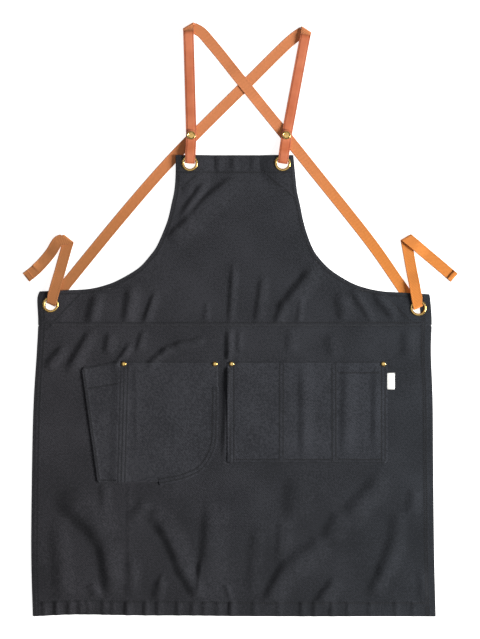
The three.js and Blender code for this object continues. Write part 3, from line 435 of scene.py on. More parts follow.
print("cloth height in the middle of the bib, mm:", round(float(cloth_top(0.0, 700.0)), 2))

# %% [markdown]
# ## Outlines
# The panels are cut to curves. The armhole and the side are drawn through a few points
# each, and the waist corner between them stays sharp.

# %% The cloth's edges, from the hem to the bib's top
# rise is a share of the bib's height, left and right are shares of the swing outwards
BIB_EDGE = [
    (1.0, 0.0, 0.0), (0.86, 0.0, 0.014), (0.74, 0.01, 0.028), (0.645, 0.03, 0.049),
    (0.536, 0.055, 0.071), (0.442, 0.09, 0.097), (0.336, 0.138, 0.138), (0.267, 0.187, 0.181),
    (0.173, 0.275, 0.273), (0.085, 0.424, 0.415), (0.043, 0.535, 0.53), (0.02, 0.64, 0.645),
    (0.012, 0.76, 0.76), (0.0, 1.0, 1.0),
]
# rise is a share of the waist's height, left and right are shares of the way from half the
# waist's width to half the hem's
SIDE_EDGE = [
    (0.98, 0.33, 0.13), (0.91, 0.22, 0.36), (0.82, 0.42, 0.25), (0.67, 0.86, 0.5),
    (0.49, 1.09, 0.57), (0.2, 1.23, 0.71), (0.0, 1.0, 0.94),
]


def armhole(side):
    """From the waist corner up to the corner of the bib's top."""
    column = 1 + SIDES.index(side)
    half = BIB_TOP_WIDTH / 2
    points = []
    for row in reversed(BIB_EDGE):
        x = OUTWARD[side] * (half + row[column] * (WAIST_WIDTH / 2 - half))
        points.append((x, WAIST_Y + row[0] * BIB_HEIGHT - x / WAIST_WIDTH * WAIST_TILT))
    return spline(points)


def side_edge(side):
    """From the hem up to the waist corner."""
    column = 1 + SIDES.index(side)
    points = []
    for row in reversed(SIDE_EDGE):
        wide = WAIST_WIDTH + row[column] * (HEM_WIDTH - WAIST_WIDTH)
        points.append((OUTWARD[side] * wide / 2, row[0] * WAIST_Y))
    return spline(points + [tuple(armhole(side)[0])])


def part_of(line, low_y, high_y):
    """The stretch of a rising line between two heights."""
    heights = np.linspace(low_y, high_y, 60)
    return np.stack([np.interp(heights, line[:, 1], line[:, 0]), heights], axis=1)


skirt_edges = {side: part_of(side_edge(side), 0.0, SEAM_Y) for side in SIDES}
band_edges = {side: part_of(side_edge(side), SEAM_Y, armhole(side)[0][1]) for side in SIDES}
print("armhole lengths, mm:", {side: round(length_of(armhole(side))) for side in SIDES})

# %% [markdown]
# ## Cloth with turned edges
# A hem is the panel's own edge, turned under and stitched down. So each panel is one
# sheet: a grid that follows the outline, whose border rolls over the edge and runs back
# underneath. The corners are mitred, as a sewer would fold them. A Solidify modifier
# then gives the sheet the cloth's thickness. A grid is chosen rather than a cut slab,
# because its rows follow the edges and so the edges stay clean.

# %% Ways an edge can end, as steps outwards and down
# Each step is a distance out and down in mm, and the share of the hem's width run back
ROLL = CLOTH + GAP / 2
rolled = [(ROLL * math.sin(turn), ROLL * (1 - math.cos(turn)), 0.0)
          for turn in np.radians((40, 75, 105, 140, 180))]
TURNS = {
    "hem": rolled + [(0.0, 2 * ROLL, share) for share in np.linspace(0.1, 1.0, 10)],
    "rounded": [(0.45, 0.12, 0.0), (0.85, 0.42, 0.0), (1.0, 0.9, 0.0)],
    "tucked": [(0.5, 0.3, 0.0), (0.9, 0.9, 0.0), (1.4, CLOTH_STEP, 0.0),
               (SEAM_ALLOWANCE, CLOTH_STEP, 0.0)],
}
SHRINK = {"hem": ROLL, "rounded": 1.0, "tucked": 1.2}
# A grid point nearer an eyelet than the first is left out, and those up to the last move out
HOLE_INNER, HOLE_RIM, HOLE_REACH = 5.5, 8.5, 14.3
CLOTH_HOLE = 11.4
TABLE_CLEAR = 0.02


def around_eyelets(points):
    """Opens a round hole under each eyelet, by moving the points round it outwards."""
    moved = points.copy()
    for side in SIDES:
        for name in ("bib_eyelet", "waist_eyelet"):
            offset = points - places[side][name]
            far = np.linalg.norm(offset, axis=-1)
            share = np.clip((far - HOLE_RIM) / (HOLE_REACH - HOLE_RIM), 0, 1)
            reach = CLOTH_HOLE + share * (HOLE_REACH - CLOTH_HOLE)
            reach = np.where(far < HOLE_INNER, np.nan, reach)
            near = far < HOLE_REACH
            stretch = reach / np.maximum(far, 0.01)
            moved[near] = places[side][name] + offset[near] * stretch[near][:, None]
    return moved


def border_ways(points, inside):
    """The outward direction at each point of a border."""
    along = np.gradient(points, axis=0)
    ways = np.stack([along[:, 1], -along[:, 0]], axis=1)
    ways /= np.linalg.norm(ways, axis=1, keepdims=True)
    if np.sum(ways * (points - inside)) < 0:
        ways = -ways
    return ways


def hem_widths(points, width, corners, mitre):
    """A hem's width along a border, running out at the corners."""
    run = np.concatenate([[0], np.cumsum(np.linalg.norm(np.diff(points, axis=0), axis=1))])
    room = np.full(len(points), 1e9)
    for corner in [0, len(points) - 1] + list(corners):
        room = np.minimum(room, abs(run - run[corner]))
    return np.minimum(width, room * mitre)

# %% One sheet of cloth from its rows of points
def build_sheet(name, plan, top, turns, widths=None, corners=(), thickness=CLOTH):
    """plan is rows of points from the bottom up. turns names how each border ends."""
    widths = widths or {}
    rows, columns = plan.shape[:2]
    blocks = {side: TURNS[turn] for side, turn in turns.items()}
    left, right = len(blocks["left"]), len(blocks["right"])
    bottom, upper = len(blocks["bottom"]), len(blocks["top"])
    points = np.full((rows + bottom + upper, columns + left + right, 3), np.nan)
    opened = around_eyelets(plan)
    points[bottom:bottom + rows, left:left + columns, :2] = opened
    points[bottom:bottom + rows, left:left + columns, 2] = top(opened[..., 0], opened[..., 1])
    borders = {
        "left": (plan[:, 0], plan[:, 1]), "right": (plan[:, -1], plan[:, -2]),
        "bottom": (plan[0], plan[1]), "top": (plan[-1], plan[-2]),
    }
    for side, steps in blocks.items():
        border, inside = borders[side]
        ways = border_ways(border, inside)
        wide, mitre = widths.get(side, (0.0, 1.0))
        reach = hem_widths(border, wide, corners if side in SIDES else (), mitre)
        lowest = TABLE_CLEAR + (thickness if turns[side] == "tucked" else 0.0)
        for k, (out, drop, share) in enumerate(steps):
            place = border + ways * (out - share * reach[:, None])
            if share:
                place = around_eyelets(place)
            level = top(place[:, 0], place[:, 1]) if share else top(border[:, 0], border[:, 1])
            ring = np.column_stack([place, np.maximum(level - drop, lowest)])
            if side == "left":
                points[bottom:bottom + rows, left - 1 - k] = ring
            elif side == "right":
                points[bottom:bottom + rows, left + columns + k] = ring
            elif side == "bottom":
                points[bottom - 1 - k, left:left + columns] = ring
            else:
                points[bottom + rows + k, left:left + columns] = ring
    return grid_object(name, points, thickness)


def add_grid(mesh, points):
    """Adds a grid of points in mm to a mesh, and gives its vertices by row."""
    rows, columns = points.shape[:2]
    made = bmesh.ops.create_grid(mesh, x_segments=columns - 1, y_segments=rows - 1, size=1)["verts"]
    metres = to_metres(points)
    ordered = [[None] * columns for _ in range(rows)]
    for vert in made:
        column = round((vert.co.x + 1) / 2 * (columns - 1))
        row = round((vert.co.y + 1) / 2 * (rows - 1))
        vert.co = metres[row, column]
        ordered[row][column] = vert
    return ordered


def grid_object(name, points, thickness):
    """A sheet from a grid of points in mm. Points that aren't a number are left out."""
    mesh = bmesh.new()
    add_grid(mesh, points)
    unused = [vert for vert in mesh.verts if math.isnan(vert.co.x)]
    bmesh.ops.delete(mesh, geom=unused, context="VERTS")
    piece = mesh_object(name, mesh)
    solid = piece.modifiers.new("cloth thickness", "SOLIDIFY")
    solid.thickness = thickness / 1000
    solid.offset = -1
    return piece


def mesh_object(name, mesh, smooth_faces=True):
    for face in mesh.faces:
        face.smooth = smooth_faces
    data = bpy.data.meshes.new(name)
    mesh.to_mesh(data)
    mesh.free()
    piece = bpy.data.objects.new(name, data)
    bpy.context.scene.collection.objects.link(piece)
    return piece

# %% [markdown]
# ## The two panels
# The skirt is nearly a rectangle. Its top edge is tucked under the bib's lower edge, where
# the two are seamed. The bib's rows start level at the seam and end level at the top,
# and in between they bow, so that the cells stay even beside the curved armholes.

# %% The skirt
CELL = 3.3
# The hem's line isn't straight: shares of its width, and how far it lies up or down in mm
HEM_WAVE = [
    (-0.5, -1.6), (-0.42, 1.4), (-0.36, 1.8), (-0.24, 0.2), (-0.1, -0.2), (0.02, -1.2), (0.2, -1.6),
    (0.38, -1.4), (0.5, -1.8),
]
HEM_WAVE_REACH = 60.0


def skirt_plan():
    rows = round(SKIRT_LENGTH / CELL)
    columns = round(HEM_WIDTH / CELL)
    left = evenly(skirt_edges["left"], rows)
    right = evenly(skirt_edges["right"], rows)
    left[:, 0] += SHRINK["hem"]
    right[:, 0] -= SHRINK["hem"]
    share = np.linspace(0, 1, columns + 1)[None, :, None]
    plan = left[:, None] * (1 - share) + right[:, None] * share
    low, high = SHRINK["hem"], SEAM_Y - GAP / 2 - SHRINK["tucked"]
    plan[..., 1] = low + (high - low) * plan[..., 1] / SEAM_Y
    wave = spline(HEM_WAVE)
    lift = np.interp(plan[..., 0] / HEM_WIDTH, wave[:, 0], wave[:, 1])
    plan[..., 1] += lift * (1 - smooth(plan[..., 1] / HEM_WAVE_REACH))
    return plan


# Each hem's width, and how much of it is cut off per mm towards a mitred corner
side_hem = (SIDE_HEM, SIDE_HEM / BOTTOM_HEM)
bottom_hem = (BOTTOM_HEM, BOTTOM_HEM / SIDE_HEM)
skirt = build_sheet(
    "skirt_cloth", skirt_plan(), cloth_top,
    {"left": "hem", "right": "hem", "bottom": "hem", "top": "tucked"},
    {"left": side_hem, "right": side_hem, "bottom": bottom_hem})
print("skirt faces:", len(skirt.data.polygons))

# %% The bib
def bib_plan():
    band_rows = round(WAIST_BAND / CELL)
    arm_rows = round(BIB_HEIGHT / CELL)
    columns = round(WAIST_WIDTH / CELL)
    edges = {}
    for side in SIDES:
        band = evenly(band_edges[side], band_rows)
        arm = evenly(armhole(side), arm_rows)
        edge = np.vstack([band, arm[1:]])
        inside = edge.copy()
        inside[:, 0] *= 0.9
        inside[:, 1] -= 1.0
        ways = border_ways(edge, inside)
        edges[side] = edge - ways * SHRINK["hem"]
    rows = band_rows + arm_rows
    low, high = SEAM_Y + GAP / 2 + SHRINK["rounded"], TOP_Y - SHRINK["hem"]
    for edge in edges.values():
        edge[:, 1] = np.clip(edge[:, 1], low, high)
    share = np.linspace(0, 1, columns + 1)
    flat = share[None, :, None]
    plan = edges["left"][:, None] * (1 - flat) + edges["right"][:, None] * flat
    level = np.linspace(low, high, rows + 1)[:, None]
    bow = smooth(1 - abs(2 * share - 1))[None, :]
    plan[..., 1] += bow * (level - plan[..., 1])
    return plan, band_rows


bib_points, waist_row = bib_plan()
armhole_hem = (ARMHOLE_HEM + 1, 0.6)
bib = build_sheet(
    "bib_cloth", bib_points, cloth_top,
    {"left": "hem", "right": "hem", "bottom": "rounded", "top": "hem"},
    {"left": armhole_hem, "right": armhole_hem, "top": (BIB_FACING, 2.4)},
    corners=(waist_row,))
print("bib faces:", len(bib.data.polygons))

# %% [markdown]
# ## Pockets
# A pocket is one more layer, stitched to the skirt on three sides. Its left edge stands a
# little away from the skirt, so it throws a thin dark shadow. The wide pocket has one
# rounded corner, so its rows run from the straight edge to the curved one.

# %% The pockets' surface
# The rounded corner, as shares of the pocket's width from its left and its length from its top
LEFT_POCKET_CORNER = [
    (0.99, 0.57), (0.975, 0.7), (0.93, 0.79), (0.865, 0.865), (0.79, 0.91), (0.64, 0.955),
    (0.45, 0.985),
]
LEFT_FOOT = POCKET_TOP - LEFT_POCKET[1]
RIGHT_FOOT = POCKET_TOP - RIGHT_POCKET[1]
tool_edge = np.array([
    (LEFT_START - POCKET_LEAN - TOOL_POCKET_FOOT, LEFT_FOOT),
    (LEFT_START - TOOL_POCKET_MOUTH, POCKET_TOP - TOOL_POCKET_SLANT)])
right_edge = np.array([(RIGHT_START, RIGHT_FOOT), (RIGHT_START, POCKET_TOP)])
left_edge = np.array([(LEFT_START - POCKET_LEAN, LEFT_FOOT), (LEFT_START, POCKET_TOP)])
# The free edges curl up a little: each one's line, how high it stands and how far in, in mm
CURLS = [(tool_edge, 1.2, 9.0), (right_edge, 0.8, 9.0), (left_edge, 2.2, 20.0)]


def pocket_top(x, y):
    rise = np.zeros(np.shape(x))
    for line, tall, wide in CURLS:
        rise = np.maximum(rise, tall * (1 - smooth(distance_to(line, x, y) / wide)))
    for place in rivet_places.values():
        rise = rise * smooth((np.hypot(x - place[0], y - place[1]) - RIVET_CAP / 2) / 12)
    return cloth_under(x, y) + CLOTH_STEP + CLOTH + rise


# %% The three pockets
def between(left, right):
    """Rows of points from a left line to a right line."""
    width = max(np.linalg.norm(right - left, axis=1))
    share = np.linspace(0, 1, max(round(width / CELL), 3) + 1)[None, :, None]
    return left[:, None] * (1 - share) + right[:, None] * share


ALL_ROUNDED = {"left": "rounded", "right": "rounded", "bottom": "rounded", "top": "rounded"}
INSET = SHRINK["rounded"]
# The curved edge starts along the foot, at this share of the pocket's width
FOOT_START = 0.38
FOOT_POINTS = 12


def drawn_in(line, way):
    """A straight edge moved in by its rounding. way is 1 for a left edge, -1 for a right one."""
    return line + ((way * INSET, INSET), (way * INSET, -INSET))


def pocket(name, left, right):
    rows = round(length_of(left) / CELL)
    plan = between(evenly(left, rows), evenly(right, rows))
    return build_sheet(name, plan, pocket_top, ALL_ROUNDED)


corner = [(LEFT_START + across * LEFT_POCKET[0], POCKET_TOP - down * LEFT_POCKET[1])
          for across, down in reversed(LEFT_POCKET_CORNER)]
foot = (LEFT_START + FOOT_START * LEFT_POCKET[0], LEFT_FOOT + 1)
left_round = spline([foot] + corner + [(LEFT_END, POCKET_TOP)])
round_inside = left_round.copy()
round_inside[:FOOT_POINTS, 1] += INSET
round_inside[FOOT_POINTS:, 0] -= INSET
round_inside[-1, 1] -= INSET
pocket_left = pocket("pocket_left_cloth", drawn_in(left_edge, 1), round_inside)
pocket_tool = pocket("pocket_tool_cloth", drawn_in(tool_edge, 1), drawn_in(left_edge - (GAP, 0), -1))
pocket_right = pocket(
    "pocket_right_cloth", drawn_in(right_edge, 1), drawn_in(right_edge + (RIGHT_POCKET[0], 0), -1))
print("pocket faces:", [len(p.data.polygons) for p in (pocket_left, pocket_tool, pocket_right)])

# %% The bare label
LABEL_ROWS = 14
label_top = POCKET_TOP - LABEL_DROP
label_edge = np.array([(RIGHT_END + GAP, label_top - LABEL[1]), (RIGHT_END + GAP, label_top)])
label_left = evenly(drawn_in(label_edge, 1), LABEL_ROWS)
label_right = evenly(drawn_in(label_edge + (LABEL[0], 0), -1), LABEL_ROWS)
label = build_sheet("side_label_cloth", between(label_left, label_right), pocket_top, ALL_ROUNDED)
print("label size, mm:", LABEL)

# %% [markdown]
# ## Seams and stitches
# A row of thread, or two side by side, pulls a seam into a shallow channel, and the cloth
# beside it rises into puckers. Modelling that in the panels would need very small cells
# everywhere, so each seam is a narrow ribbon of its own cloth: its middle stands just over
# the panel and its edges dip into it. The channel's shade is painted: the ribbon's colour is
# darker along each channel. A painted shadow line along a pocket's bare edge and mouth is such
# a ribbon too, narrower and without a thread. The thread is a row of small grains, and each
# has few faces, because there are thousands of them.

# %% Where the seams run
def beside(line, inside, distance):
    """The line moved towards a point inside."""
    return line - border_ways(line, np.array(inside)) * distance


def row_of(*points):
    return np.array(points, dtype=float)


CENTRE = (0.0, 400.0)
UNDER_BIB = (0.0, 300.0)
HEM_STITCH_Y = 24.5
side_lines = {side: side_edge(side) for side in SIDES}
hem_x = np.linspace(-HEM_WIDTH / 2, HEM_WIDTH / 2, 120)
hem_y = np.interp(hem_x / HEM_WIDTH, *spline(HEM_WAVE).T) + HEM_STITCH_Y
hem_line = np.column_stack([hem_x, hem_y])
facing_y = TOP_Y - BIB_FACING
skirt_seams = [
    (beside(side_lines["left"], CENTRE, 5.0), "single"),
    (beside(side_lines["left"], CENTRE, 11.0), "single"),
    (beside(side_lines["right"], CENTRE, 13.0), "single"),
    (beside(side_lines["right"], CENTRE, 17.0), "faint"),
    (hem_line[2:-2], "deep"),
]
bib_seams = [
    (beside(armhole("left")[4:-2], UNDER_BIB, 6.5), "single"),
    (beside(armhole("right")[4:-2], UNDER_BIB, 6.5), "single"),
    (row_of((-BIB_TOP_WIDTH / 2 + 2, facing_y), (BIB_TOP_WIDTH / 2 - 2, facing_y)), "deep"),
    (row_of((49.5, 801.9), (72.9, 780.3), (107.0, 752.2)), "deep"),
    (row_of((-56.7, 803.7), (-95, 768.6)), "single"),
    (row_of((-272.7, 584.1), (-339.3, 513.9)), "single"),
    (row_of((269.0, 578.0), (319.0, 527.0)), "deep"),
]
print("panel seams:", len(skirt_seams) + len(bib_seams))

# %% A seam's channel and its puckers
# Half of each ribbon's section, from its middle out: distance across and height in mm
HALF_PROFILES = {
    "single": [(0.0, 0.04), (1.2, 0.22), (2.6, 0.16), (4.2, -0.12)],
    "faint": [(0.0, 0.04), (1.0, 0.12), (2.2, 0.08), (3.4, -0.12)],
    "deep": [(0.0, 0.04), (1.4, 0.34), (3.2, 0.3), (6.0, -0.12)],
    "lip_shadow": [(0.8, 0.1), (1.6, 0.03)],
    "bold": [(1.6, 0.65), (3.2, 0.05), (5.2, 0.35), (8.0, -0.12)],
    "double": [(1.6, 0.32), (3.2, 0.05), (5.2, 0.2), (8.0, -0.12)],
}
PROFILES = {
    kind: [(-off, up) for off, up in reversed(half) if off > 0] + half
    for kind, half in HALF_PROFILES.items()
}
# Where a section's channels lie, which are painted darker as shade. All but the lip shadow, a painted shadow
# line along a pocket's bare edge, have a thread there
CHANNELS = {
    "single": [0.0], "faint": [0.0], "deep": [0.0], "lip_shadow": [0.0],
    "bold": [-3.2, 3.2], "double": [-3.2, 3.2],
}
CHANNEL_HALF = 1.7
SEAM_STEP = 3.0
STITCH_PITCH = 3.6
GRAIN_OF_THREAD = (0.00125, 0.00032, 0.00026)
THREAD_LIFT = 0.16


def seam_rows(line, kind, top):
    count = max(round(length_of(line) / SEAM_STEP), 2)
    middle = evenly(line, count)
    along = np.gradient(middle, axis=0)
    along /= np.linalg.norm(along, axis=1, keepdims=True)
    side = np.stack([-along[:, 1], along[:, 0]], axis=1)
    run = np.arange(count + 1) * SEAM_STEP
    pucker = 0.55 + 0.45 * np.sin(run / 3.1 + 1.9 * np.sin(run / 17 + line[0, 0]))
    rows = np.zeros((count + 1, len(PROFILES[kind]), 3))
    for k, (off, up) in enumerate(PROFILES[kind]):
        place = middle + side * off
        rise = up if up <= 0.05 else 0.05 + (up - 0.05) * pucker
        rows[:, k, :2] = place
        rows[:, k, 2] = top(place[:, 0], place[:, 1]) + rise
    return rows


def sew(name, seams, top):
    """Channels and threads of one panel's seams, as two pieces."""
    channels = bmesh.new()
    threads = bmesh.new()
    groove = channels.verts.layers.float.new("groove")
    stitches = 0
    for line, kind in seams:
        # The groove attribute holds painted shade: 1 in the middle of a channel, falling to 0 beside it
        depths = [1 - min(1, min(abs(off - channel) for channel in CHANNELS[kind]) / CHANNEL_HALF)
                  for off, up in PROFILES[kind]]
        for row in add_grid(channels, seam_rows(line, kind, top)):
            for vert, depth in zip(row, depths):
                vert[groove] = depth
        if kind != "lip_shadow":
            stitches += sum(lay_thread(threads, line, off, top) for off in CHANNELS[kind])
    bmesh.ops.recalc_face_normals(channels, faces=channels.faces[:])
    if sum(face.normal.z for face in channels.faces) < 0:
        bmesh.ops.reverse_faces(channels, faces=channels.faces[:])
    print(name, "stitches:", stitches)
    return mesh_object(name + "_seams", channels), mesh_object(name + "_thread", threads)


def lay_thread(mesh, line, off, top):
    middle = evenly(line, max(round(length_of(line) / STITCH_PITCH), 1))
    along = np.gradient(middle, axis=0)
    along /= np.linalg.norm(along, axis=1, keepdims=True)
    spots = middle + np.stack([-along[:, 1], along[:, 0]], axis=1) * off
    levels = top(spots[:, 0], spots[:, 1]) + THREAD_LIFT
    for spot, way, level in zip(spots, along, levels):
        turn = Matrix.Rotation(math.atan2(way[1], way[0]), 4, "Z")
        size = Matrix.Diagonal((*GRAIN_OF_THREAD, 1))
        place = Matrix.Translation(to_metres((spot[0], spot[1], level)))
        bmesh.ops.create_icosphere(mesh, subdivisions=1, radius=1, matrix=place @ turn @ size)
    return len(spots)


# %% Sewing the panels
skirt_seam, skirt_thread = sew("skirt", skirt_seams, cloth_top)
waist_stitch = row_of((-WAIST_WIDTH / 2 + 4, SEAM_Y + 5.0), (WAIST_WIDTH / 2 - 4, SEAM_Y + 5.0))
bib_seam, bib_thread = sew("bib", bib_seams + [(waist_stitch, "single")], cloth_top)

# %% Sewing the pockets
# A lip shadow ribbon is a painted shadow line along a pocket's mouth and free edges, with no thread
MOUTH_DROP = 0.9
EDGE_LIP_SHADOW = np.array([(1.0, 2.0), (1.0, -3.0)])
mouth_y = POCKET_TOP - MOUTH_DROP
left_pocket_seams = [
    (row_of((LEFT_START + 2, mouth_y), (LEFT_END - 2, mouth_y)), "lip_shadow"),
    (left_edge + EDGE_LIP_SHADOW, "lip_shadow"),
    (left_edge + (10.0, 0.0), "double"),
    ((left_round - (6.0, 0.0))[8:-4], "bold"),
]
tool_seams = [
    (row_of(tool_edge[1] + (2, 0.3 - MOUTH_DROP), left_edge[1] + (-2, -MOUTH_DROP)), "lip_shadow"),
    (tool_edge + EDGE_LIP_SHADOW, "lip_shadow"),
    (tool_edge + ((3.0, 3), (3.0, -3)), "faint"),
    (row_of((LEFT_START - 63, POCKET_TOP - 48.9), (LEFT_START - 4, POCKET_TOP - 39.4)), "single"),
    (row_of((LEFT_START - 37, LEFT_FOOT + 4), (LEFT_START - 8, LEFT_FOOT + 4)), "faint"),
]
right_pocket_seams = [
    (row_of((RIGHT_START + 2, mouth_y), (RIGHT_END - 2, mouth_y)), "lip_shadow"),
    (right_edge + EDGE_LIP_SHADOW, "lip_shadow"),
    (row_of((RIGHT_START + 4, RIGHT_FOOT + 1.0), (RIGHT_END - 4, RIGHT_FOOT + 1.0)), "lip_shadow"),
    (right_edge + ((6.0, 2), (6.0, -2)), "double"),
    (row_of((RIGHT_START + 94.5, RIGHT_FOOT + 3), (RIGHT_START + 95.0, POCKET_TOP - 3)), "double"),
    (row_of((RIGHT_START + 189.5, RIGHT_FOOT + 3), (RIGHT_START + 189.0, POCKET_TOP - 3)), "double"),
    (row_of((RIGHT_END - 6.0, RIGHT_FOOT + 3), (RIGHT_END - 6.0, POCKET_TOP - 2)), "double"),
    (row_of((RIGHT_START + 12, RIGHT_FOOT + 6), (RIGHT_END - 12, RIGHT_FOOT + 6)), "faint"),
    (row_of((RIGHT_END - 88, POCKET_TOP - 20), (RIGHT_END - 14, POCKET_TOP - 20)), "faint"),
]
left_seam, left_thread = sew("pocket_left", left_pocket_seams, pocket_top)
tool_seam, tool_thread = sew("pocket_tool", tool_seams, pocket_top)
right_seam, right_thread = sew("pocket_right", right_pocket_seams, pocket_top)

# %% [markdown]
# ## Straps
# A strap is followed from one end to the other as a list of stations: a point, the
# direction of its crosswise line, its face, its half width and its thickness. A half turn
# round a crease carries it over on itself, and where a strap leaves a fold in another
# heading it also slides along the crease. One closed section is then laid through the
# stations, as belting is pressed. A tube of even section would not fold like this.

# %% Stations
UP = np.array((0.0, 0.0, 1.0))
HOLE_HALF = EYELET_HOLE / 2 - 1.1
HOLE_PASS = 0.5
RING_CLEAR = EYELET_OUTER / 2 + 2
FOLD_ROOM = 0.9
FOLD_STEPS = 14


def flat3(vector, level=0.0):
    return np.array((vector[0], vector[1], level))


def station(point, level, line, face, half, thick):
    return {"point": flat3(point, level), "line": flat3(line), "face": np.array(face, dtype=float),
            "half": half, "thick": thick}


def run_along(points, bed, width, thick, face_sign):
    """Stations with square crosswise lines. face_sign is 1 where the first face looks up."""
    ways = np.gradient(points, axis=0)
    stations = []
    for point, way in zip(points, ways):
        way = unit(way)
        line = np.array((way[1], -way[0])) * face_sign
        stations.append(station(point, bed(point) + thick / 2, line, UP * face_sign, width / 2, thick))
    return stations


def straight(start, end, spacing):
    count = max(round(np.linalg.norm(end - start) / spacing), 2)
    return start + np.linspace(0, 1, count + 1)[:, None] * (end - start)


def half_turn(edge, in_degrees, crease, in_level, out_level, half, thick, face_sign, slide):
    way = heading(in_degrees)
    line = heading(crease)
    if line @ (np.array((way[1], -way[0])) * face_sign) < 0:
        line = -line
    over = np.array((-line[1], line[0]))
    if over @ way < 0:
        over = -over
    radius = abs(out_level - in_level) / 2
    middle = (in_level + out_level) / 2
    rising = 1 if in_level > out_level else -1
    axis = edge - over * (radius + thick / 2)
    drift = slide * (way @ line) / (way @ over)
    stations = []
    for turn in np.linspace(0, math.pi, FOLD_STEPS + 1):
        point = axis + over * radius * math.sin(turn) + line * drift * radius * (turn - math.pi / 2)
        face = (flat3(over) * math.sin(turn) + UP * rising * math.cos(turn)) * face_sign * rising
        level = middle + rising * radius * math.cos(turn)
        stations.append(station(point, level, line, face, half, thick))
    return stations


def fold_half(width, start, end):
    return width / 2 / abs(math.sin(math.radians((start - end) / 2)))


# %% Leather straps, from the rounded tab to the shoulder
SNAP_DISC = WEBBING_STEP
SNAP_STRAP = SNAP_DISC + METAL_BACK + GAP
SNAP_TAB = SNAP_STRAP + LEATHER + GAP
SNAP_CAP_LEVEL = SNAP_TAB + LEATHER + GAP
SNAP_CLEAR = SNAP_CAP / 2 + 1
TAB_PAST_SNAP = 11.0
LEATHER_END = 10.5
TAPE_SINK = 0.45
SHOULDER_BED = LEATHER + 2 * 1.4
LEATHER_FLAT = WEBBING_WIDTH / 2 + LEATHER_WIDTH / 2 + 6


def leather_bed(x, y):
    return WEBBING_STEP * max(float(over_line(routes[side], x, y, LEATHER_FLAT, 24)) for side in SIDES)


def leather_stations(side):
    eyelet, snap, shoulder = (places[side][name] for name in ("bib_eyelet", "snap", "shoulder"))
    tab_way = unit(eyelet - snap)
    tab_end = snap - tab_way * TAB_PAST_SNAP
    front = bib_levels["strap"] + LEATHER / 2
    back = bib_levels["bed"] + LEATHER / 2
    snap_to_eye = np.linalg.norm(snap - eyelet)

    def level_share(point):
        far = np.linalg.norm(point - eyelet)
        return float(smooth((far - RING_CLEAR) / (snap_to_eye - SNAP_CLEAR - RING_CLEAR)))

    def tab_bed(point):
        return bib_levels["strap"] + (SNAP_TAB - bib_levels["strap"]) * level_share(point)

    def strap_bed(point):
        far = np.linalg.norm(point - eyelet)
        past_snap = float(smooth((far - snap_to_eye - SNAP_CLEAR) / 24))
        held = bib_levels["bed"] + (SNAP_STRAP - bib_levels["bed"]) * level_share(point)
        from_fold = np.linalg.norm(point - shoulder) - LEATHER_WIDTH
        fold = SHOULDER_BED * float(smooth(1 - from_fold / (2 * LEATHER_WIDTH)))
        return max(held * (1 - past_snap), leather_bed(*point), fold)

    half = LEATHER_WIDTH / 2
    rounding = np.array((0.02, 0.1, 0.22, 0.4, 0.6, 0.8))
    back_start = eyelet - tab_way * RING_CLEAR
    round_end = tab_end + tab_way * half * rounding[:, None]
    tab_points = np.vstack([round_end, straight(tab_end + tab_way * half, back_start, 3)])
    tab = run_along(tab_points, tab_bed, LEATHER_WIDTH, LEATHER, 1)
    for share, made in zip(rounding, tab):
        made["half"] = half * math.sqrt(1 - (1 - share) ** 2)
        made["margin_half"] = half
        made["past_round"] = half * (1 - share)
    hole_edge = eyelet + tab_way * HOLE_PASS
    wrap = (front - back) / 2 + LEATHER / 2
    narrow = dict(tab[-1], point=flat3(hole_edge - tab_way * (wrap + 4), front), half=HOLE_HALF)
    turn = half_turn(
        hole_edge, degrees_of(tab_way), degrees_of(tab_way) + 90, front, back, HOLE_HALF, LEATHER, 1, 0)
    lean = unit(shoulder - snap)
    fold_start = shoulder - lean * FOLD_ROOM * LEATHER_WIDTH
    back_points = np.vstack([straight(back_start, snap, 4), straight(snap, fold_start, 4)[1:]])
    strap = run_along(back_points, strap_bed, LEATHER_WIDTH, LEATHER, -1)
    leather_end = dict(strap[-1], point=flat3(shoulder - lean * LEATHER_END, strap[-1]["point"][2]))
    tape_start = dict(leather_end, point=leather_end["point"] - UP * TAPE_SINK, thick=WEBBING, tape=True)
    going, leaving = degrees_of(lean), SHOULDERS[side]["exit"]
    shoulder_turn = half_turn(
        shoulder, going, (going + leaving) / 2, SHOULDER_BED + LEATHER / 2, LEATHER / 2,
        fold_half(LEATHER_WIDTH, going, leaving), WEBBING, -1, 1)
    for made in shoulder_turn:
        made["tape"] = True
    return tab + [narrow] + turn + strap + [leather_end, tape_start] + shoulder_turn


# %% Webbing straps, from the shoulder to the end of the tie
TIE_END_HEM = 10.0
TIE_STITCH_TONE = 0.7
SECOND_ROWS = 60
KINK_AT = 0.775
KINK_RISE = 16.0
KINK_FALL = 2.5
STRAIGHTENS = 30.0


def leave_fold(curve, crease, bed, start):
    """Stations along a curve whose crosswise lines turn from the crease's line to a square one."""
    run = np.concatenate([[0], np.cumsum(np.linalg.norm(np.diff(curve, axis=0), axis=1))])
    ways = np.array([unit(way) for way in np.gradient(curve, axis=0)])
    beside = np.stack([ways[:, 1], -ways[:, 0]], axis=1)
    line = heading(crease)
    line = line if line @ beside[0] > 0 else -line
    slant = WEBBING_WIDTH / 2 * (line @ ways[0]) / (line @ beside[0])

    def edge_at(sign, stop):
        edge = curve + sign * beside * WEBBING_WIDTH / 2
        place = np.array([np.interp(max(stop, 0.0), run, edge[:, k]) for k in (0, 1)])
        return place + ways[0] * min(stop, 0.0)

    stations = []
    for stop in run[run > start]:
        skew = slant * (1 - float(smooth((stop - start) / STRAIGHTENS)))
        far, near = edge_at(1, stop + skew), edge_at(-1, stop - skew)
        middle = (far + near) / 2
        half = np.linalg.norm(far - near) / 2
        stations.append(station(middle, bed(middle) + WEBBING / 2, unit(far - near), UP, half, WEBBING))
    return stations


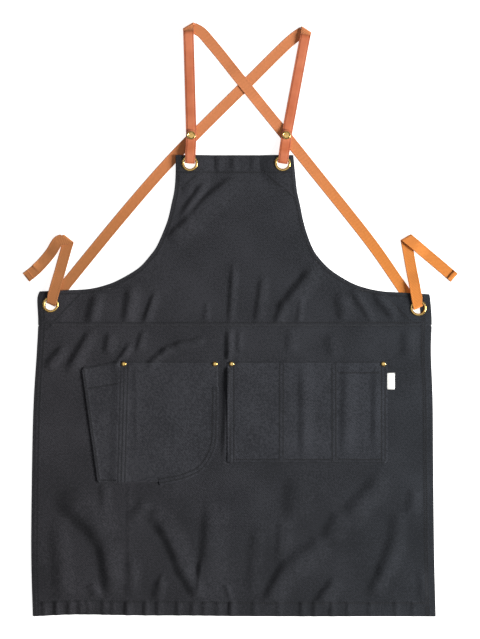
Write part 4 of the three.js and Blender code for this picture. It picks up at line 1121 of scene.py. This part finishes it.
def webbing_stations(side):
    waist = OTHER[side]
    tie = TIES[waist]
    eyelet = places[waist]["waist_eyelet"]
    lean = places[side]["shoulder"] - places[side]["snap"]
    points = routes[side]
    arrival = degrees_of(points[-1] - points[-3])

    def crossing(point, under):
        return WEBBING_STEP * float(over_line(routes[under], *point, 24, 26))

    def bed(point):
        return crossing(point, "right") if side == "left" else 0.0

    kept = points[np.linalg.norm(points - eyelet, axis=1) > RING_CLEAR]
    approach = run_along(kept, bed, WEBBING_WIDTH, WEBBING, 1)
    exit_way = SHOULDERS[side]["exit"]
    start_line = heading((degrees_of(lean) + exit_way) / 2)
    if start_line @ approach[0]["line"][:2] < 0:
        start_line = -start_line
    approach[0]["line"] = flat3(start_line)
    approach[0]["half"] = WEBBING_WIDTH / 2 / abs(start_line @ heading(exit_way + 90))

    front = waist_levels["strap"] + WEBBING / 2
    first_way = heading(tie["first"])
    crease = (arrival + tie["first"]) / 2
    over = heading(crease + 90)
    over = over if over @ heading(arrival) > 0 else -over
    hole_turn = half_turn(
        eyelet + over * HOLE_PASS, arrival, crease, WEBBING / 2, front, HOLE_HALF, WEBBING, 1, 0)

    fold_edge = eyelet + first_way * tie["first_length"] * STRAP_REACH
    fold_room = FOLD_ROOM * WEBBING_WIDTH

    def first_bed(point):
        past = np.linalg.norm(point - eyelet) - tie["drop"] * WAIST_BAND - WEBBING_WIDTH / 2
        fall = float(smooth(past / (2 * WEBBING_WIDTH)))
        return max(waist_levels["strap"] * (1 - fall), crossing(point, side))

    first = run_along(
        straight(eyelet + first_way * RING_CLEAR, fold_edge - first_way * fold_room, 4),
        first_bed, WEBBING_WIDTH, WEBBING, -1)
    fold_bed = WEBBING + 2 * tie["fold"]
    tie_turn = half_turn(
        fold_edge, tie["first"], (tie["first"] + tie["leaves"]) / 2, WEBBING / 2, fold_bed + WEBBING / 2,
        fold_half(WEBBING_WIDTH, tie["first"], tie["leaves"]), WEBBING, -1, 1)

    last_way = heading(tie["last"])
    end = fold_edge + heading((tie["second"] + tie["last"]) / 2) * tie["second_length"] * STRAP_REACH
    hem_start = end - last_way * TIE_END_HEM
    run = end - fold_edge
    beside_run = np.array((-run[1], run[0]))
    knots = [fold_edge + run * along + beside_run * bow for along, bow in [(0, 0)] + tie["bow"]]
    curve = evenly(spline(knots + [hem_start], 16), SECOND_ROWS)

    def second_bed(point):
        far = np.linalg.norm(point - fold_edge) - WEBBING_WIDTH
        return fold_bed * (1 - float(smooth(far / (1.6 * WEBBING_WIDTH))))

    second = leave_fold(curve, (tie["first"] + tie["leaves"]) / 2, second_bed, tie["fold"] + WEBBING)
    hem = run_along(straight(hem_start + last_way * GAP, end, 3), second_bed, WEBBING_WIDTH, 2 * WEBBING, 1)
    hem[0]["groove"] = TIE_STITCH_TONE
    for made in second:
        past_kink = np.linalg.norm(made["point"][:2] - fold_edge) - KINK_AT * np.linalg.norm(run)
        rise, fall = smooth(1 + past_kink / KINK_RISE), smooth(1 - past_kink / KINK_FALL)
        made["kink"] = tie["kink"] * float(rise if past_kink < 0 else fall)
    return approach + hole_turn + first + tie_turn + second + hem


# %% A strap's closed section, laid through its stations
# Distance from the edge in mm and height as a share of the thickness, out to the middle
LEATHER_SECTION = [(0.0, 0.0), (0.12, 0.34), (0.45, 0.5), (1.7, 0.5), (2.0, 0.42), (2.3, 0.5), (5.0, 0.54)]
WEBBING_SECTION = [(0.0, 0.0), (0.15, 0.36), (0.5, 0.5), (1.6, 0.52), (2.2, 0.44), (5.0, 0.45)]


def section(profile, half, thick):
    """Corners of a section, as distances across and up, once round."""
    top = [(-half + min(edge, half), up * thick) for edge, up in profile]
    top += [(half - min(edge, half), up * thick) for edge, up in reversed(profile)]
    return top + [(across, -up) for across, up in reversed(top[1:-1])]


def strap_object(name, stations, profile):
    full = max(item["half"] for item in stations)
    rings = []
    margins = []
    for item in stations:
        half = item["half"]
        ring = section([(edge * min(1, half / 9), up) for edge, up in profile], half, item["thick"])
        kink = item.get("kink", 0.0)
        rings.append([
            item["point"] + item["line"] * across + item["face"] * up + UP * kink * smooth(across / half)
            for across, up in ring + ring[:1]])
        whole = item.get("margin_half", half)
        past_round = item.get("past_round", 0.0)
        margins.append([whole - math.hypot(across, past_round) for across, up in ring + ring[:1]])
    margins = [margins[0]] + margins + [margins[-1]]
    grooves = [0.0] + [item.get("groove", 0.0) for item in stations] + [0.0]
    first_cap, last_cap = (
        [(ring[0] + ring[len(ring) // 2]) / 2] * len(ring) for ring in (rings[0], rings[-1]))
    points = np.array([first_cap] + rings + [last_cap])
    points[..., 2] = np.maximum(points[..., 2], TABLE_CLEAR)
    mesh = bmesh.new()
    from_edge = mesh.verts.layers.float.new("from_edge")
    groove = mesh.verts.layers.float.new("groove")
    weave = mesh.loops.layers.uv.new("weave")
    ordered = add_grid(mesh, points)
    for row, edges, depth in zip(ordered, margins, grooves):
        for vert, edge in zip(row, edges):
            vert[from_edge] = max(edge, 0.0) / 1000
            vert[groove] = depth
    for row, item in zip(ordered[1:], stations):
        for vert in row:
            vert.tag = item.get("tape", False)
    for face in mesh.faces:
        face.material_index = 1 if all(vert.tag for vert in face.verts) else 0
    middles = np.array([item["point"] for item in stations])
    travel = np.concatenate([[0, 0], np.cumsum(np.linalg.norm(np.diff(middles, axis=0), axis=1)), [0]])
    travel[-1] = travel[-2]
    flat_ring = section(profile, full, 1.0)
    across = [spot[0] for spot in flat_ring + flat_ring[:1]]
    spots = {}
    for r, row in enumerate(ordered):
        for c, vert in enumerate(row):
            spots[vert] = (travel[r] / 1000, across[c] / 1000)
    for face in mesh.faces:
        for loop in face.loops:
            loop[weave].uv = spots[loop.vert]
    bmesh.ops.remove_doubles(mesh, verts=mesh.verts[:], dist=0.000004)
    bmesh.ops.recalc_face_normals(mesh, faces=mesh.faces[:])
    return mesh_object(name, mesh), float(travel[-1])


leather = {}
webbing = {}
for side in SIDES:
    leather[side] = strap_object("leather_%s" % side, leather_stations(side), LEATHER_SECTION)
    webbing[side] = strap_object("webbing_%s" % side, webbing_stations(side), WEBBING_SECTION)
    print(side, "leather, mm:", round(leather[side][1]), "webbing, mm:", round(webbing[side][1]))

# %% [markdown]
# ## Brass
# Eyelets, snaps and rivets are turned parts, so each is a profile spun once round its own
# axis. The profile starts from a few points and gets its smooth look from many short
# steps in the round of the rim.

# %% Turning a profile
SPIN_STEPS = 56


def turned(name, profile, centre):
    """profile is radius and height in mm, from the bottom's middle or the hole, once round."""
    mesh = bmesh.new()
    axis = Vector(to_metres((centre[0], centre[1], 0.0)))
    verts = [mesh.verts.new(axis + Vector((radius / 1000, 0, level / 1000))) for radius, level in profile]
    edges = [mesh.edges.new(pair) for pair in zip(verts[:-1], verts[1:])]
    if profile[0][0] > 0:
        edges.append(mesh.edges.new((verts[-1], verts[0])))
    bmesh.ops.spin(
        mesh, geom=verts + edges, cent=axis, axis=(0, 0, 1), angle=2 * math.pi, steps=SPIN_STEPS,
        use_merge=True)
    bmesh.ops.remove_doubles(mesh, verts=mesh.verts[:], dist=0.000004)
    bmesh.ops.recalc_face_normals(mesh, faces=mesh.faces[:])
    return mesh_object(name, mesh)


def arc_points(inner, outer, level, tall):
    """A domed ring's front, from its outer rim to its inner one."""
    shares = np.linspace(0, math.pi, 15)
    middle, reach = (inner + outer) / 2, (outer - inner) / 2
    return [(middle + reach * math.cos(a), level + tall * math.sin(a) ** 0.8) for a in shares]


# %% Eyelets
def eyelet_profile(levels):
    hole = EYELET_HOLE / 2
    back = EYELET_OUTER / 2 - 0.6
    return [(hole, levels["back"]), (back - 0.3, levels["back"]), (back, levels["back"] + 0.3),
            (back, levels["back"] + METAL_BACK), (hole + METAL_BACK, levels["back"] + METAL_BACK),
            (hole + METAL_BACK, levels["front"])] + arc_points(hole, EYELET_OUTER / 2, levels["front"], 1.6)


metal = {}
for side in SIDES:
    for spot, levels in (("bib", bib_levels), ("waist", waist_levels)):
        name = "eyelet_%s_%s" % (spot, side)
        metal[name] = turned("brass_" + name, eyelet_profile(levels), places[side][spot + "_eyelet"])
print("eyelets:", len(metal))

# %% Snaps and rivets
# Radius and height in mm, from the rim to the middle of the face
SNAP_FRONT = [
    (7.5, 0.0), (7.5, 0.9), (7.3, 1.5), (6.9, 1.95), (6.4, 2.05), (5.9, 1.9), (5.5, 1.55), (5.2, 1.35),
    (4.6, 1.3), (3.2, 1.4), (1.6, 1.46), (0.0, 1.48),
]
RIVET_FRONT = [
    (4.5, 0.0), (4.45, 0.55), (4.2, 1.05), (3.7, 1.45), (3.0, 1.75), (2.1, 1.92), (1.1, 1.99), (0.0, 2.0),
]
for side in SIDES:
    body = [(0.0, SNAP_DISC), (6.8, SNAP_DISC), (7.0, SNAP_DISC + 0.2), (7.0, SNAP_DISC + METAL_BACK),
            (2.0, SNAP_DISC + METAL_BACK), (2.0, SNAP_CAP_LEVEL)]
    cap = [(radius, SNAP_CAP_LEVEL + up) for radius, up in SNAP_FRONT]
    metal["strap_snap_" + side] = turned("brass_snap_" + side, body + cap, places[side]["snap"])
for name, place in rivet_places.items():
    under = float(cloth_under(*place))
    front = under + CLOTH_STEP + CLOTH + GAP
    body = [(0.0, under - 1.0), (3.9, under - 1.0), (3.9, under - GAP), (1.5, under - GAP), (1.5, front)]
    cap = [(radius, front + up) for radius, up in RIVET_FRONT]
    metal[name] = turned("brass_" + name, body + cap, place)
print("metal pieces:", len(metal))

# %% [markdown]
# ## Materials
# Every finish is made from nodes, and each pattern's scale comes from a real size in
# millimetres. Patterns on the cloth read Object coordinates, so they run unbroken from a
# panel into its seams. Patterns on a strap read its own UV map, which is its length and
# width in metres, so they turn with it at every fold.

# %% Helpers for nodes
def linear(hex_text):
    """An sRGB colour as linear red, green, blue and 1."""
    values = [int(hex_text[k:k + 2], 16) / 255 for k in (0, 2, 4)]
    return tuple(v / 12.92 if v <= 0.04045 else ((v + 0.055) / 1.055) ** 2.4 for v in values) + (1.0,)


def node(tree, kind, links=None, stops=(), **settings):
    """Adds a node. links gives each input a value or another node's output, and stops a
    ramp's places and colours."""
    made = tree.nodes.new("ShaderNode" + kind)
    for place, colour in stops[1:-1]:
        made.color_ramp.elements.new(place)
    if stops:
        made.color_ramp.elements[0].position = stops[0][0]
        made.color_ramp.elements[-1].position = stops[-1][0]
        for mark, (place, colour) in zip(made.color_ramp.elements, stops):
            mark.color = colour
    for name, value in settings.items():
        setattr(made, name, value)
    for socket, value in (links or {}).items():
        if isinstance(value, bpy.types.NodeSocket):
            tree.links.new(value, made.inputs[socket])
        else:
            made.inputs[socket].default_value = value
    return made


def finish_named(name, roughness, **constants):
    material = bpy.data.materials.new(name)
    material.use_nodes = True
    shader = material.node_tree.nodes["Principled BSDF"]
    shader.inputs["Roughness"].default_value = roughness
    for socket, value in constants.items():
        shader.inputs[socket.replace("_", " ")].default_value = value
    return material, material.node_tree, shader


def per_metre(size_mm):
    return 1000.0 / size_mm


# A wave texture of scale 1 has its slanting bands and its straight ones this far apart, in m
SLANTING_BANDS = 0.444
STRAIGHT_BANDS = 0.314


# %% Cotton canvas: a dense twill, dyed in the piece, dull and a little faded
def canvas(name, left_tones, right_tones, channel_shade):
    # Real twill lines are about 1 mm apart, less than a pixel here, so they are drawn 3 mm
    # apart. The grain is the uneven dye of thick cotton yarn.
    material, tree, shader = finish_named(
        name, 0.92, Sheen_Weight=0.12, Sheen_Roughness=0.5, Specular_IOR_Level=0.25)
    place = node(tree, "TexCoord").outputs["Object"]
    twill = node(tree, "TexWave", {
        "Vector": place, "Scale": SLANTING_BANDS * per_metre(3.0), "Distortion": 1.6, "Detail": 2.0,
        "Detail Scale": 3.0}, bands_direction="DIAGONAL")
    grain = node(tree, "TexNoise", {
        "Vector": place, "Scale": per_metre(2.6), "Detail": 2.0, "Roughness": 0.65})
    fade = node(tree, "TexNoise", {
        "Vector": place, "Scale": per_metre(85.0), "Detail": 2.0, "Roughness": 0.5})
    mixed = node(tree, "Mix", {"Factor": 0.14, 2: grain.outputs["Fac"], 3: twill.outputs["Fac"]})
    # Painted shade: the cloth is drawn darker towards the hem and lighter towards the bib, standing in for
    # weaker light on the skirt's lower half
    across = node(tree, "SeparateXYZ", {"Vector": place})
    kept = node(tree, "MapRange", {
        "Value": across.outputs["Y"], "From Min": -0.5, "From Max": 0.2, "To Min": -0.05, "To Max": 0.03})
    weave_and_hem_shade = node(tree, "Math", {0: mixed.outputs[0], 1: kept.outputs[0]}, operation="ADD")
    faded_and_shaded = node(tree, "Math", {
        0: fade.outputs["Fac"], 1: 0.35, 2: weave_and_hem_shade.outputs[0]}, operation="MULTIPLY_ADD")
    left, right = (
        node(tree, "ValToRGB", {"Fac": faded_and_shaded.outputs[0]}, [(0.55, linear(dark)), (0.8, linear(pale))])
        for dark, pale in (left_tones, right_tones))
    share = node(tree, "MapRange", {"Value": across.outputs["X"], "From Min": -0.33, "From Max": 0.3})
    tone = node(tree, "Mix", {
        "Factor": share.outputs[0], 6: left.outputs["Color"], 7: right.outputs["Color"]}, data_type="RGBA")
    # Painted shade: the groove attribute, 1 in a seam's channel and along a pocket's lip shadow, mixes the
    # cloth towards a dark shade tone
    groove = node(tree, "Attribute", attribute_name="groove")
    depth = node(tree, "Math", {0: groove.outputs["Fac"], 1: 1.0}, operation="MULTIPLY", use_clamp=True)
    colour = node(tree, "Mix", {
        "Factor": depth.outputs[0], 6: tone.outputs[2], 7: linear(channel_shade)}, data_type="RGBA")
    tree.links.new(colour.outputs[2], shader.inputs["Base Color"])
    bump = node(tree, "Bump", {"Strength": 0.35, "Distance": 0.0004, "Height": mixed.outputs[0]})
    tree.links.new(bump.outputs["Normal"], shader.inputs["Normal"])
    return material


# The tone of the painted shade in the seams' channels and along the pockets' shadow lines
CHANNEL_SHADE_TONE = "17181B"
panel_canvas = canvas(
    "cotton canvas, piece-dyed charcoal", ("1F1F23", "38373C"), ("191C21", "2D3036"), CHANNEL_SHADE_TONE)
pocket_canvas = canvas(
    "cotton canvas, pocket cut", ("25252A", "3E3E43"), ("1C1F24", "33363D"), CHANNEL_SHADE_TONE)

# %% Sewing thread: polyester, a little shinier than the cloth; its tone is darkened with the painted shade of the channel it lies in
thread, thread_tree, thread_shader = finish_named("polyester sewing thread", 0.6)
thread_place = node(thread_tree, "TexCoord").outputs["Object"]
# A real thread turns about every 0.6 mm, drawn here at 1.2 mm
thread_turn = node(thread_tree, "TexNoise", {"Vector": thread_place, "Scale": per_metre(1.2), "Detail": 1.0})
thread_tone = node(thread_tree, "ValToRGB", {"Fac": thread_turn.outputs["Fac"]}, [
    (0.0, linear("1C1D21")), (1.0, linear("2C2E33"))])
thread_tree.links.new(thread_tone.outputs["Color"], thread_shader.inputs["Base Color"])

# %% Leather: vegetable-tanned, coral tan, pressed with a crease line beside each edge
# Distance from the strap's edge in mm, and how much of the burnished tone shows there
CREASE_LINE = [
    (0.0, 0.8), (0.7, 0.55), (1.1, 0.1), (1.5, 0.1), (2.0, 0.62), (2.9, 0.5), (3.5, 0.0), (5.0, 0.0),
]
CREASE_SPAN = 5.0
leather_finish, tree, shader = finish_named(
    "vegetable-tanned leather, creased edge", 0.42, Coat_Weight=0.12, Coat_Roughness=0.3,
    Specular_IOR_Level=0.45)
where = node(tree, "TexCoord").outputs["Object"]
# Grain pores are about 0.3 mm wide, drawn at 1.1 mm
pores = node(tree, "TexNoise", {
    "Vector": where, "Scale": per_metre(2.2), "Detail": 4.0, "Roughness": 0.6})
dye = node(tree, "TexNoise", {"Vector": where, "Scale": per_metre(26.0), "Detail": 2.0})
dye_tone = node(tree, "ValToRGB", {"Fac": dye.outputs["Fac"]}, [
    (0.3, linear("C66A43")), (0.72, linear("D87E56"))])
from_edge = node(tree, "Attribute", attribute_name="from_edge")
edge_share = node(tree, "Math", {0: from_edge.outputs["Fac"], 1: 1000 / CREASE_SPAN}, operation="MULTIPLY")
crease = node(tree, "ValToRGB", {"Fac": edge_share.outputs[0]}, [
    (place_mm / CREASE_SPAN, (tone, tone, tone, 1.0)) for place_mm, tone in CREASE_LINE])
burnish = node(tree, "Mix", {
    "Factor": crease.outputs["Color"], 6: dye_tone.outputs["Color"], 7: linear("94462A")},
    data_type="RGBA")
tree.links.new(burnish.outputs[2], shader.inputs["Base Color"])
bump = node(tree, "Bump", {"Strength": 0.25, "Distance": 0.0003, "Height": pores.outputs["Fac"]})
tree.links.new(bump.outputs["Normal"], shader.inputs["Normal"])

# %% Webbing: cotton tape woven as a twill, with a thicker selvedge on both sides
webbing_finish, tree, shader = finish_named(
    "twill-woven cotton webbing", 0.88, Sheen_Weight=0.15, Sheen_Roughness=0.5, Specular_IOR_Level=0.2)
where = node(tree, "TexCoord")
# Its twill lines are about 1 mm apart, drawn at 2.6 mm
twill = node(tree, "TexWave", {
    "Vector": where.outputs["UV"], "Scale": SLANTING_BANDS * per_metre(2.6), "Distortion": 0.6,
    "Detail": 1.0}, bands_direction="DIAGONAL")
yarn = node(tree, "TexNoise", {
    "Vector": where.outputs["Object"], "Scale": per_metre(3.0), "Detail": 3.0, "Roughness": 0.6})
woven = node(tree, "Mix", {"Factor": 0.45, 2: twill.outputs["Fac"], 3: yarn.outputs["Fac"]})
# The tape is drawn browner towards the left tie and more orange towards the right one
tape_place = node(tree, "SeparateXYZ", {"Vector": where.outputs["Object"]})
to_right = node(tree, "MapRange", {"Value": tape_place.outputs["X"], "From Min": -0.32, "From Max": 0.12})
upwards = node(tree, "MapRange", {"Value": tape_place.outputs["Y"], "From Min": 0.12, "From Max": 0.34})
lower = node(tree, "Mix", {
    "Factor": to_right.outputs[0], 6: linear("C07D4C"), 7: linear("DE8940")}, data_type="RGBA")
tape_tint_by_place = node(tree, "Mix", {
    "Factor": upwards.outputs[0], 6: lower.outputs[2], 7: linear("E08D5C")}, data_type="RGBA")
tape_tone = node(tree, "ValToRGB", {"Fac": woven.outputs[0]}, [
    (0.25, (0.74, 0.72, 0.7, 1.0)), (0.75, (1.0, 1.0, 1.0, 1.0))])
tape_colour = node(tree, "Mix", {
    "Factor": 1.0, 6: tape_tint_by_place.outputs[2], 7: tape_tone.outputs["Color"]},
    data_type="RGBA", blend_type="MULTIPLY")
# The selvedge is darker, and so is the stitch across a tie's hem
selvedge = node(tree, "Attribute", attribute_name="from_edge")
selvedge_dark = node(tree, "MapRange", {
    "Value": selvedge.outputs["Fac"], "From Min": 0.0002, "From Max": 0.0012, "To Min": 0.35, "To Max": 0.0})
tie_stitch = node(tree, "Attribute", attribute_name="groove")
tape_shade = node(tree, "Math", {
    0: selvedge_dark.outputs[0], 1: tie_stitch.outputs["Fac"]}, operation="ADD", use_clamp=True)
tape_edge = node(tree, "Mix", {
    "Factor": tape_shade.outputs[0], 6: tape_colour.outputs[2], 7: linear("5A2C18")}, data_type="RGBA")
tree.links.new(tape_edge.outputs[2], shader.inputs["Base Color"])
bump = node(tree, "Bump", {"Strength": 0.4, "Distance": 0.0004, "Height": woven.outputs[0]})
tree.links.new(bump.outputs["Normal"], shader.inputs["Normal"])

# %% Brass: turned, polished and lacquered, so its highlights are sharp
brass, tree, shader = finish_named(
    "polished brass, lacquered", 0.2, Metallic=1.0, Coat_Weight=0.3, Coat_Roughness=0.1)
brass_place = node(tree, "TexCoord").outputs["Object"]
# Handling marks are about 2 mm across
wear = node(tree, "TexNoise", {"Vector": brass_place, "Scale": per_metre(4.0), "Detail": 4.0})
brass_tone = node(tree, "ValToRGB", {"Fac": wear.outputs["Fac"]}, [
    (0.3, linear("C79A4B")), (0.7, linear("E6C57E"))])
tree.links.new(brass_tone.outputs["Color"], shader.inputs["Base Color"])
rub = node(tree, "MapRange", {"Value": wear.outputs["Fac"], "To Min": 0.14, "To Max": 0.3})
tree.links.new(rub.outputs[0], shader.inputs["Roughness"])

# %% Label: satin-woven polyester, bare white
label_finish, tree, shader = finish_named("satin-woven polyester label", 0.55, Sheen_Weight=0.1)
label_place = node(tree, "TexCoord").outputs["Object"]
# Satin threads are about 0.2 mm apart, drawn at 1.4 mm
satin = node(tree, "TexWave", {
    "Vector": label_place, "Scale": STRAIGHT_BANDS * per_metre(1.4), "Distortion": 0.4},
    bands_direction="Y")
satin_tone = node(tree, "ValToRGB", {"Fac": satin.outputs["Fac"]}, [
    (0.0, linear("E4E4E0")), (1.0, linear("F8F8F5"))])
tree.links.new(satin_tone.outputs["Color"], shader.inputs["Base Color"])
bump = node(tree, "Bump", {"Strength": 0.3, "Distance": 0.0002, "Height": satin.outputs["Fac"]})
tree.links.new(bump.outputs["Normal"], shader.inputs["Normal"])
print("materials:", len(bpy.data.materials))

# %% [markdown]
# ## Table, light and camera
# The apron was laid on a white table and pictured from straight above. The light comes low
# from the right, as from a window, so every fold is lit on that side and dark on the other.
# A weak panel above the camera and a dim white room keep the shadows soft. One strong lamp
# overhead would be simpler, but it would hide the folds.

# %% Table
table_mesh = bmesh.new()
bmesh.ops.create_grid(table_mesh, x_segments=2, y_segments=2, size=3.0)
table = mesh_object("table", table_mesh, smooth_faces=False)
paper, tree, shader = finish_named("matt white table top, lit from below", 0.9, Specular_IOR_Level=0.2,
                                   Emission_Strength=0.75, Emission_Color=(1.0, 1.0, 1.0, 1.0))
table_grain = node(tree, "TexNoise", {"Vector": node(tree, "TexCoord").outputs["Object"], "Scale": 6.0})
table_tone = node(tree, "ValToRGB", {"Fac": table_grain.outputs["Fac"]}, [
    (0.0, linear("F4F4F4")), (1.0, linear("F8F8F8"))])
tree.links.new(table_tone.outputs["Color"], shader.inputs["Base Color"])
table.data.materials.append(paper)
print("table's side, m:", round(table.dimensions.x, 1))

# %% Light
LIGHT_SIZE = 1.4
LIGHT_FAR = 3.6
LIGHT_ELEVATION = math.radians(28)
light_place = Vector((*(LIGHT_WAY * math.cos(LIGHT_ELEVATION)), math.sin(LIGHT_ELEVATION))) * LIGHT_FAR
key_data = bpy.data.lights.new("window light", "AREA")
key_data.shape = "RECTANGLE"
key_data.size = LIGHT_SIZE
key_data.size_y = LIGHT_SIZE
key_data.energy = 240.0
key_data.color = (1.0, 0.99, 0.97)
key = bpy.data.objects.new("window light", key_data)
key.location = light_place
key.rotation_euler = (-light_place).to_track_quat("-Z", "Y").to_euler()
bpy.context.scene.collection.objects.link(key)
panel_data = bpy.data.lights.new("panel above the camera", "AREA")
panel_data.size = 2.4
panel_data.energy = 17.0
panel = bpy.data.objects.new("panel above the camera", panel_data)
panel.location = (0.0, 0.0, LIGHT_FAR)
bpy.context.scene.collection.objects.link(panel)
world = bpy.data.worlds.new("white room")
world.use_nodes = True
world.node_tree.nodes["Background"].inputs["Color"].default_value = (1.0, 1.0, 1.0, 1.0)
world.node_tree.nodes["Background"].inputs["Strength"].default_value = 0.15
bpy.context.scene.world = world
bpy.context.scene.view_settings.view_transform = "Standard"
print("light energy, W:", key_data.energy)

# %% Camera, straight above
# The middle of the picture in mm, and how much of the table fits its height in m
CAMERA_OVER = (9.9, 532.8, 0.0)
CAMERA_HEIGHT = 3.2
FRAME_HEIGHT = 1.1502
SENSOR_HEIGHT = 24.0
camera_data = bpy.data.cameras.new("camera over the table")
camera_data.sensor_fit = "VERTICAL"
camera_data.sensor_height = SENSOR_HEIGHT
camera_data.lens = SENSOR_HEIGHT * CAMERA_HEIGHT / FRAME_HEIGHT
camera = bpy.data.objects.new("camera over the table", camera_data)
camera.location = (*to_metres(CAMERA_OVER)[:2], CAMERA_HEIGHT)
bpy.context.scene.collection.objects.link(camera)
bpy.context.scene.camera = camera
print("lens, mm:", round(camera_data.lens, 1))

# %% [markdown]
# ## Finishing each piece
# Each piece rides on the one body, takes its finish, and hides the solid that it replaces,
# where there is one.

# %% Finishes, and the solids they replace
def settle(piece, material, slot, replaced=None):
    piece.data.materials.append(material)
    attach(piece, "root")
    if replaced:
        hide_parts(replaced)


settle(skirt, panel_canvas, "canvas", "skirt_panel")
settle(bib, panel_canvas, "canvas", "bib_panel")
settle(pocket_left, pocket_canvas, "pocket_canvas", "pocket_left")
settle(pocket_tool, pocket_canvas, "pocket_canvas", "pocket_tool")
settle(pocket_right, pocket_canvas, "pocket_canvas", "pocket_right")
for piece in (skirt_seam, bib_seam):
    settle(piece, panel_canvas, "canvas")
for piece in (left_seam, tool_seam, right_seam):
    settle(piece, pocket_canvas, "pocket_canvas")
for piece in (skirt_thread, bib_thread):
    settle(piece, thread, "canvas")
for piece in (left_thread, tool_thread, right_thread):
    settle(piece, thread, "pocket_canvas")
settle(label, label_finish, "label", "side_label")
for side in SIDES:
    settle(leather[side][0], leather_finish, "leather", "leather_strap_" + side)
    leather[side][0].data.materials.append(webbing_finish)
    settle(webbing[side][0], webbing_finish, "webbing", "webbing_strap_" + side)
for name, piece in metal.items():
    settle(piece, brass, "brass", name)
print("brass pieces settled:", len(metal))
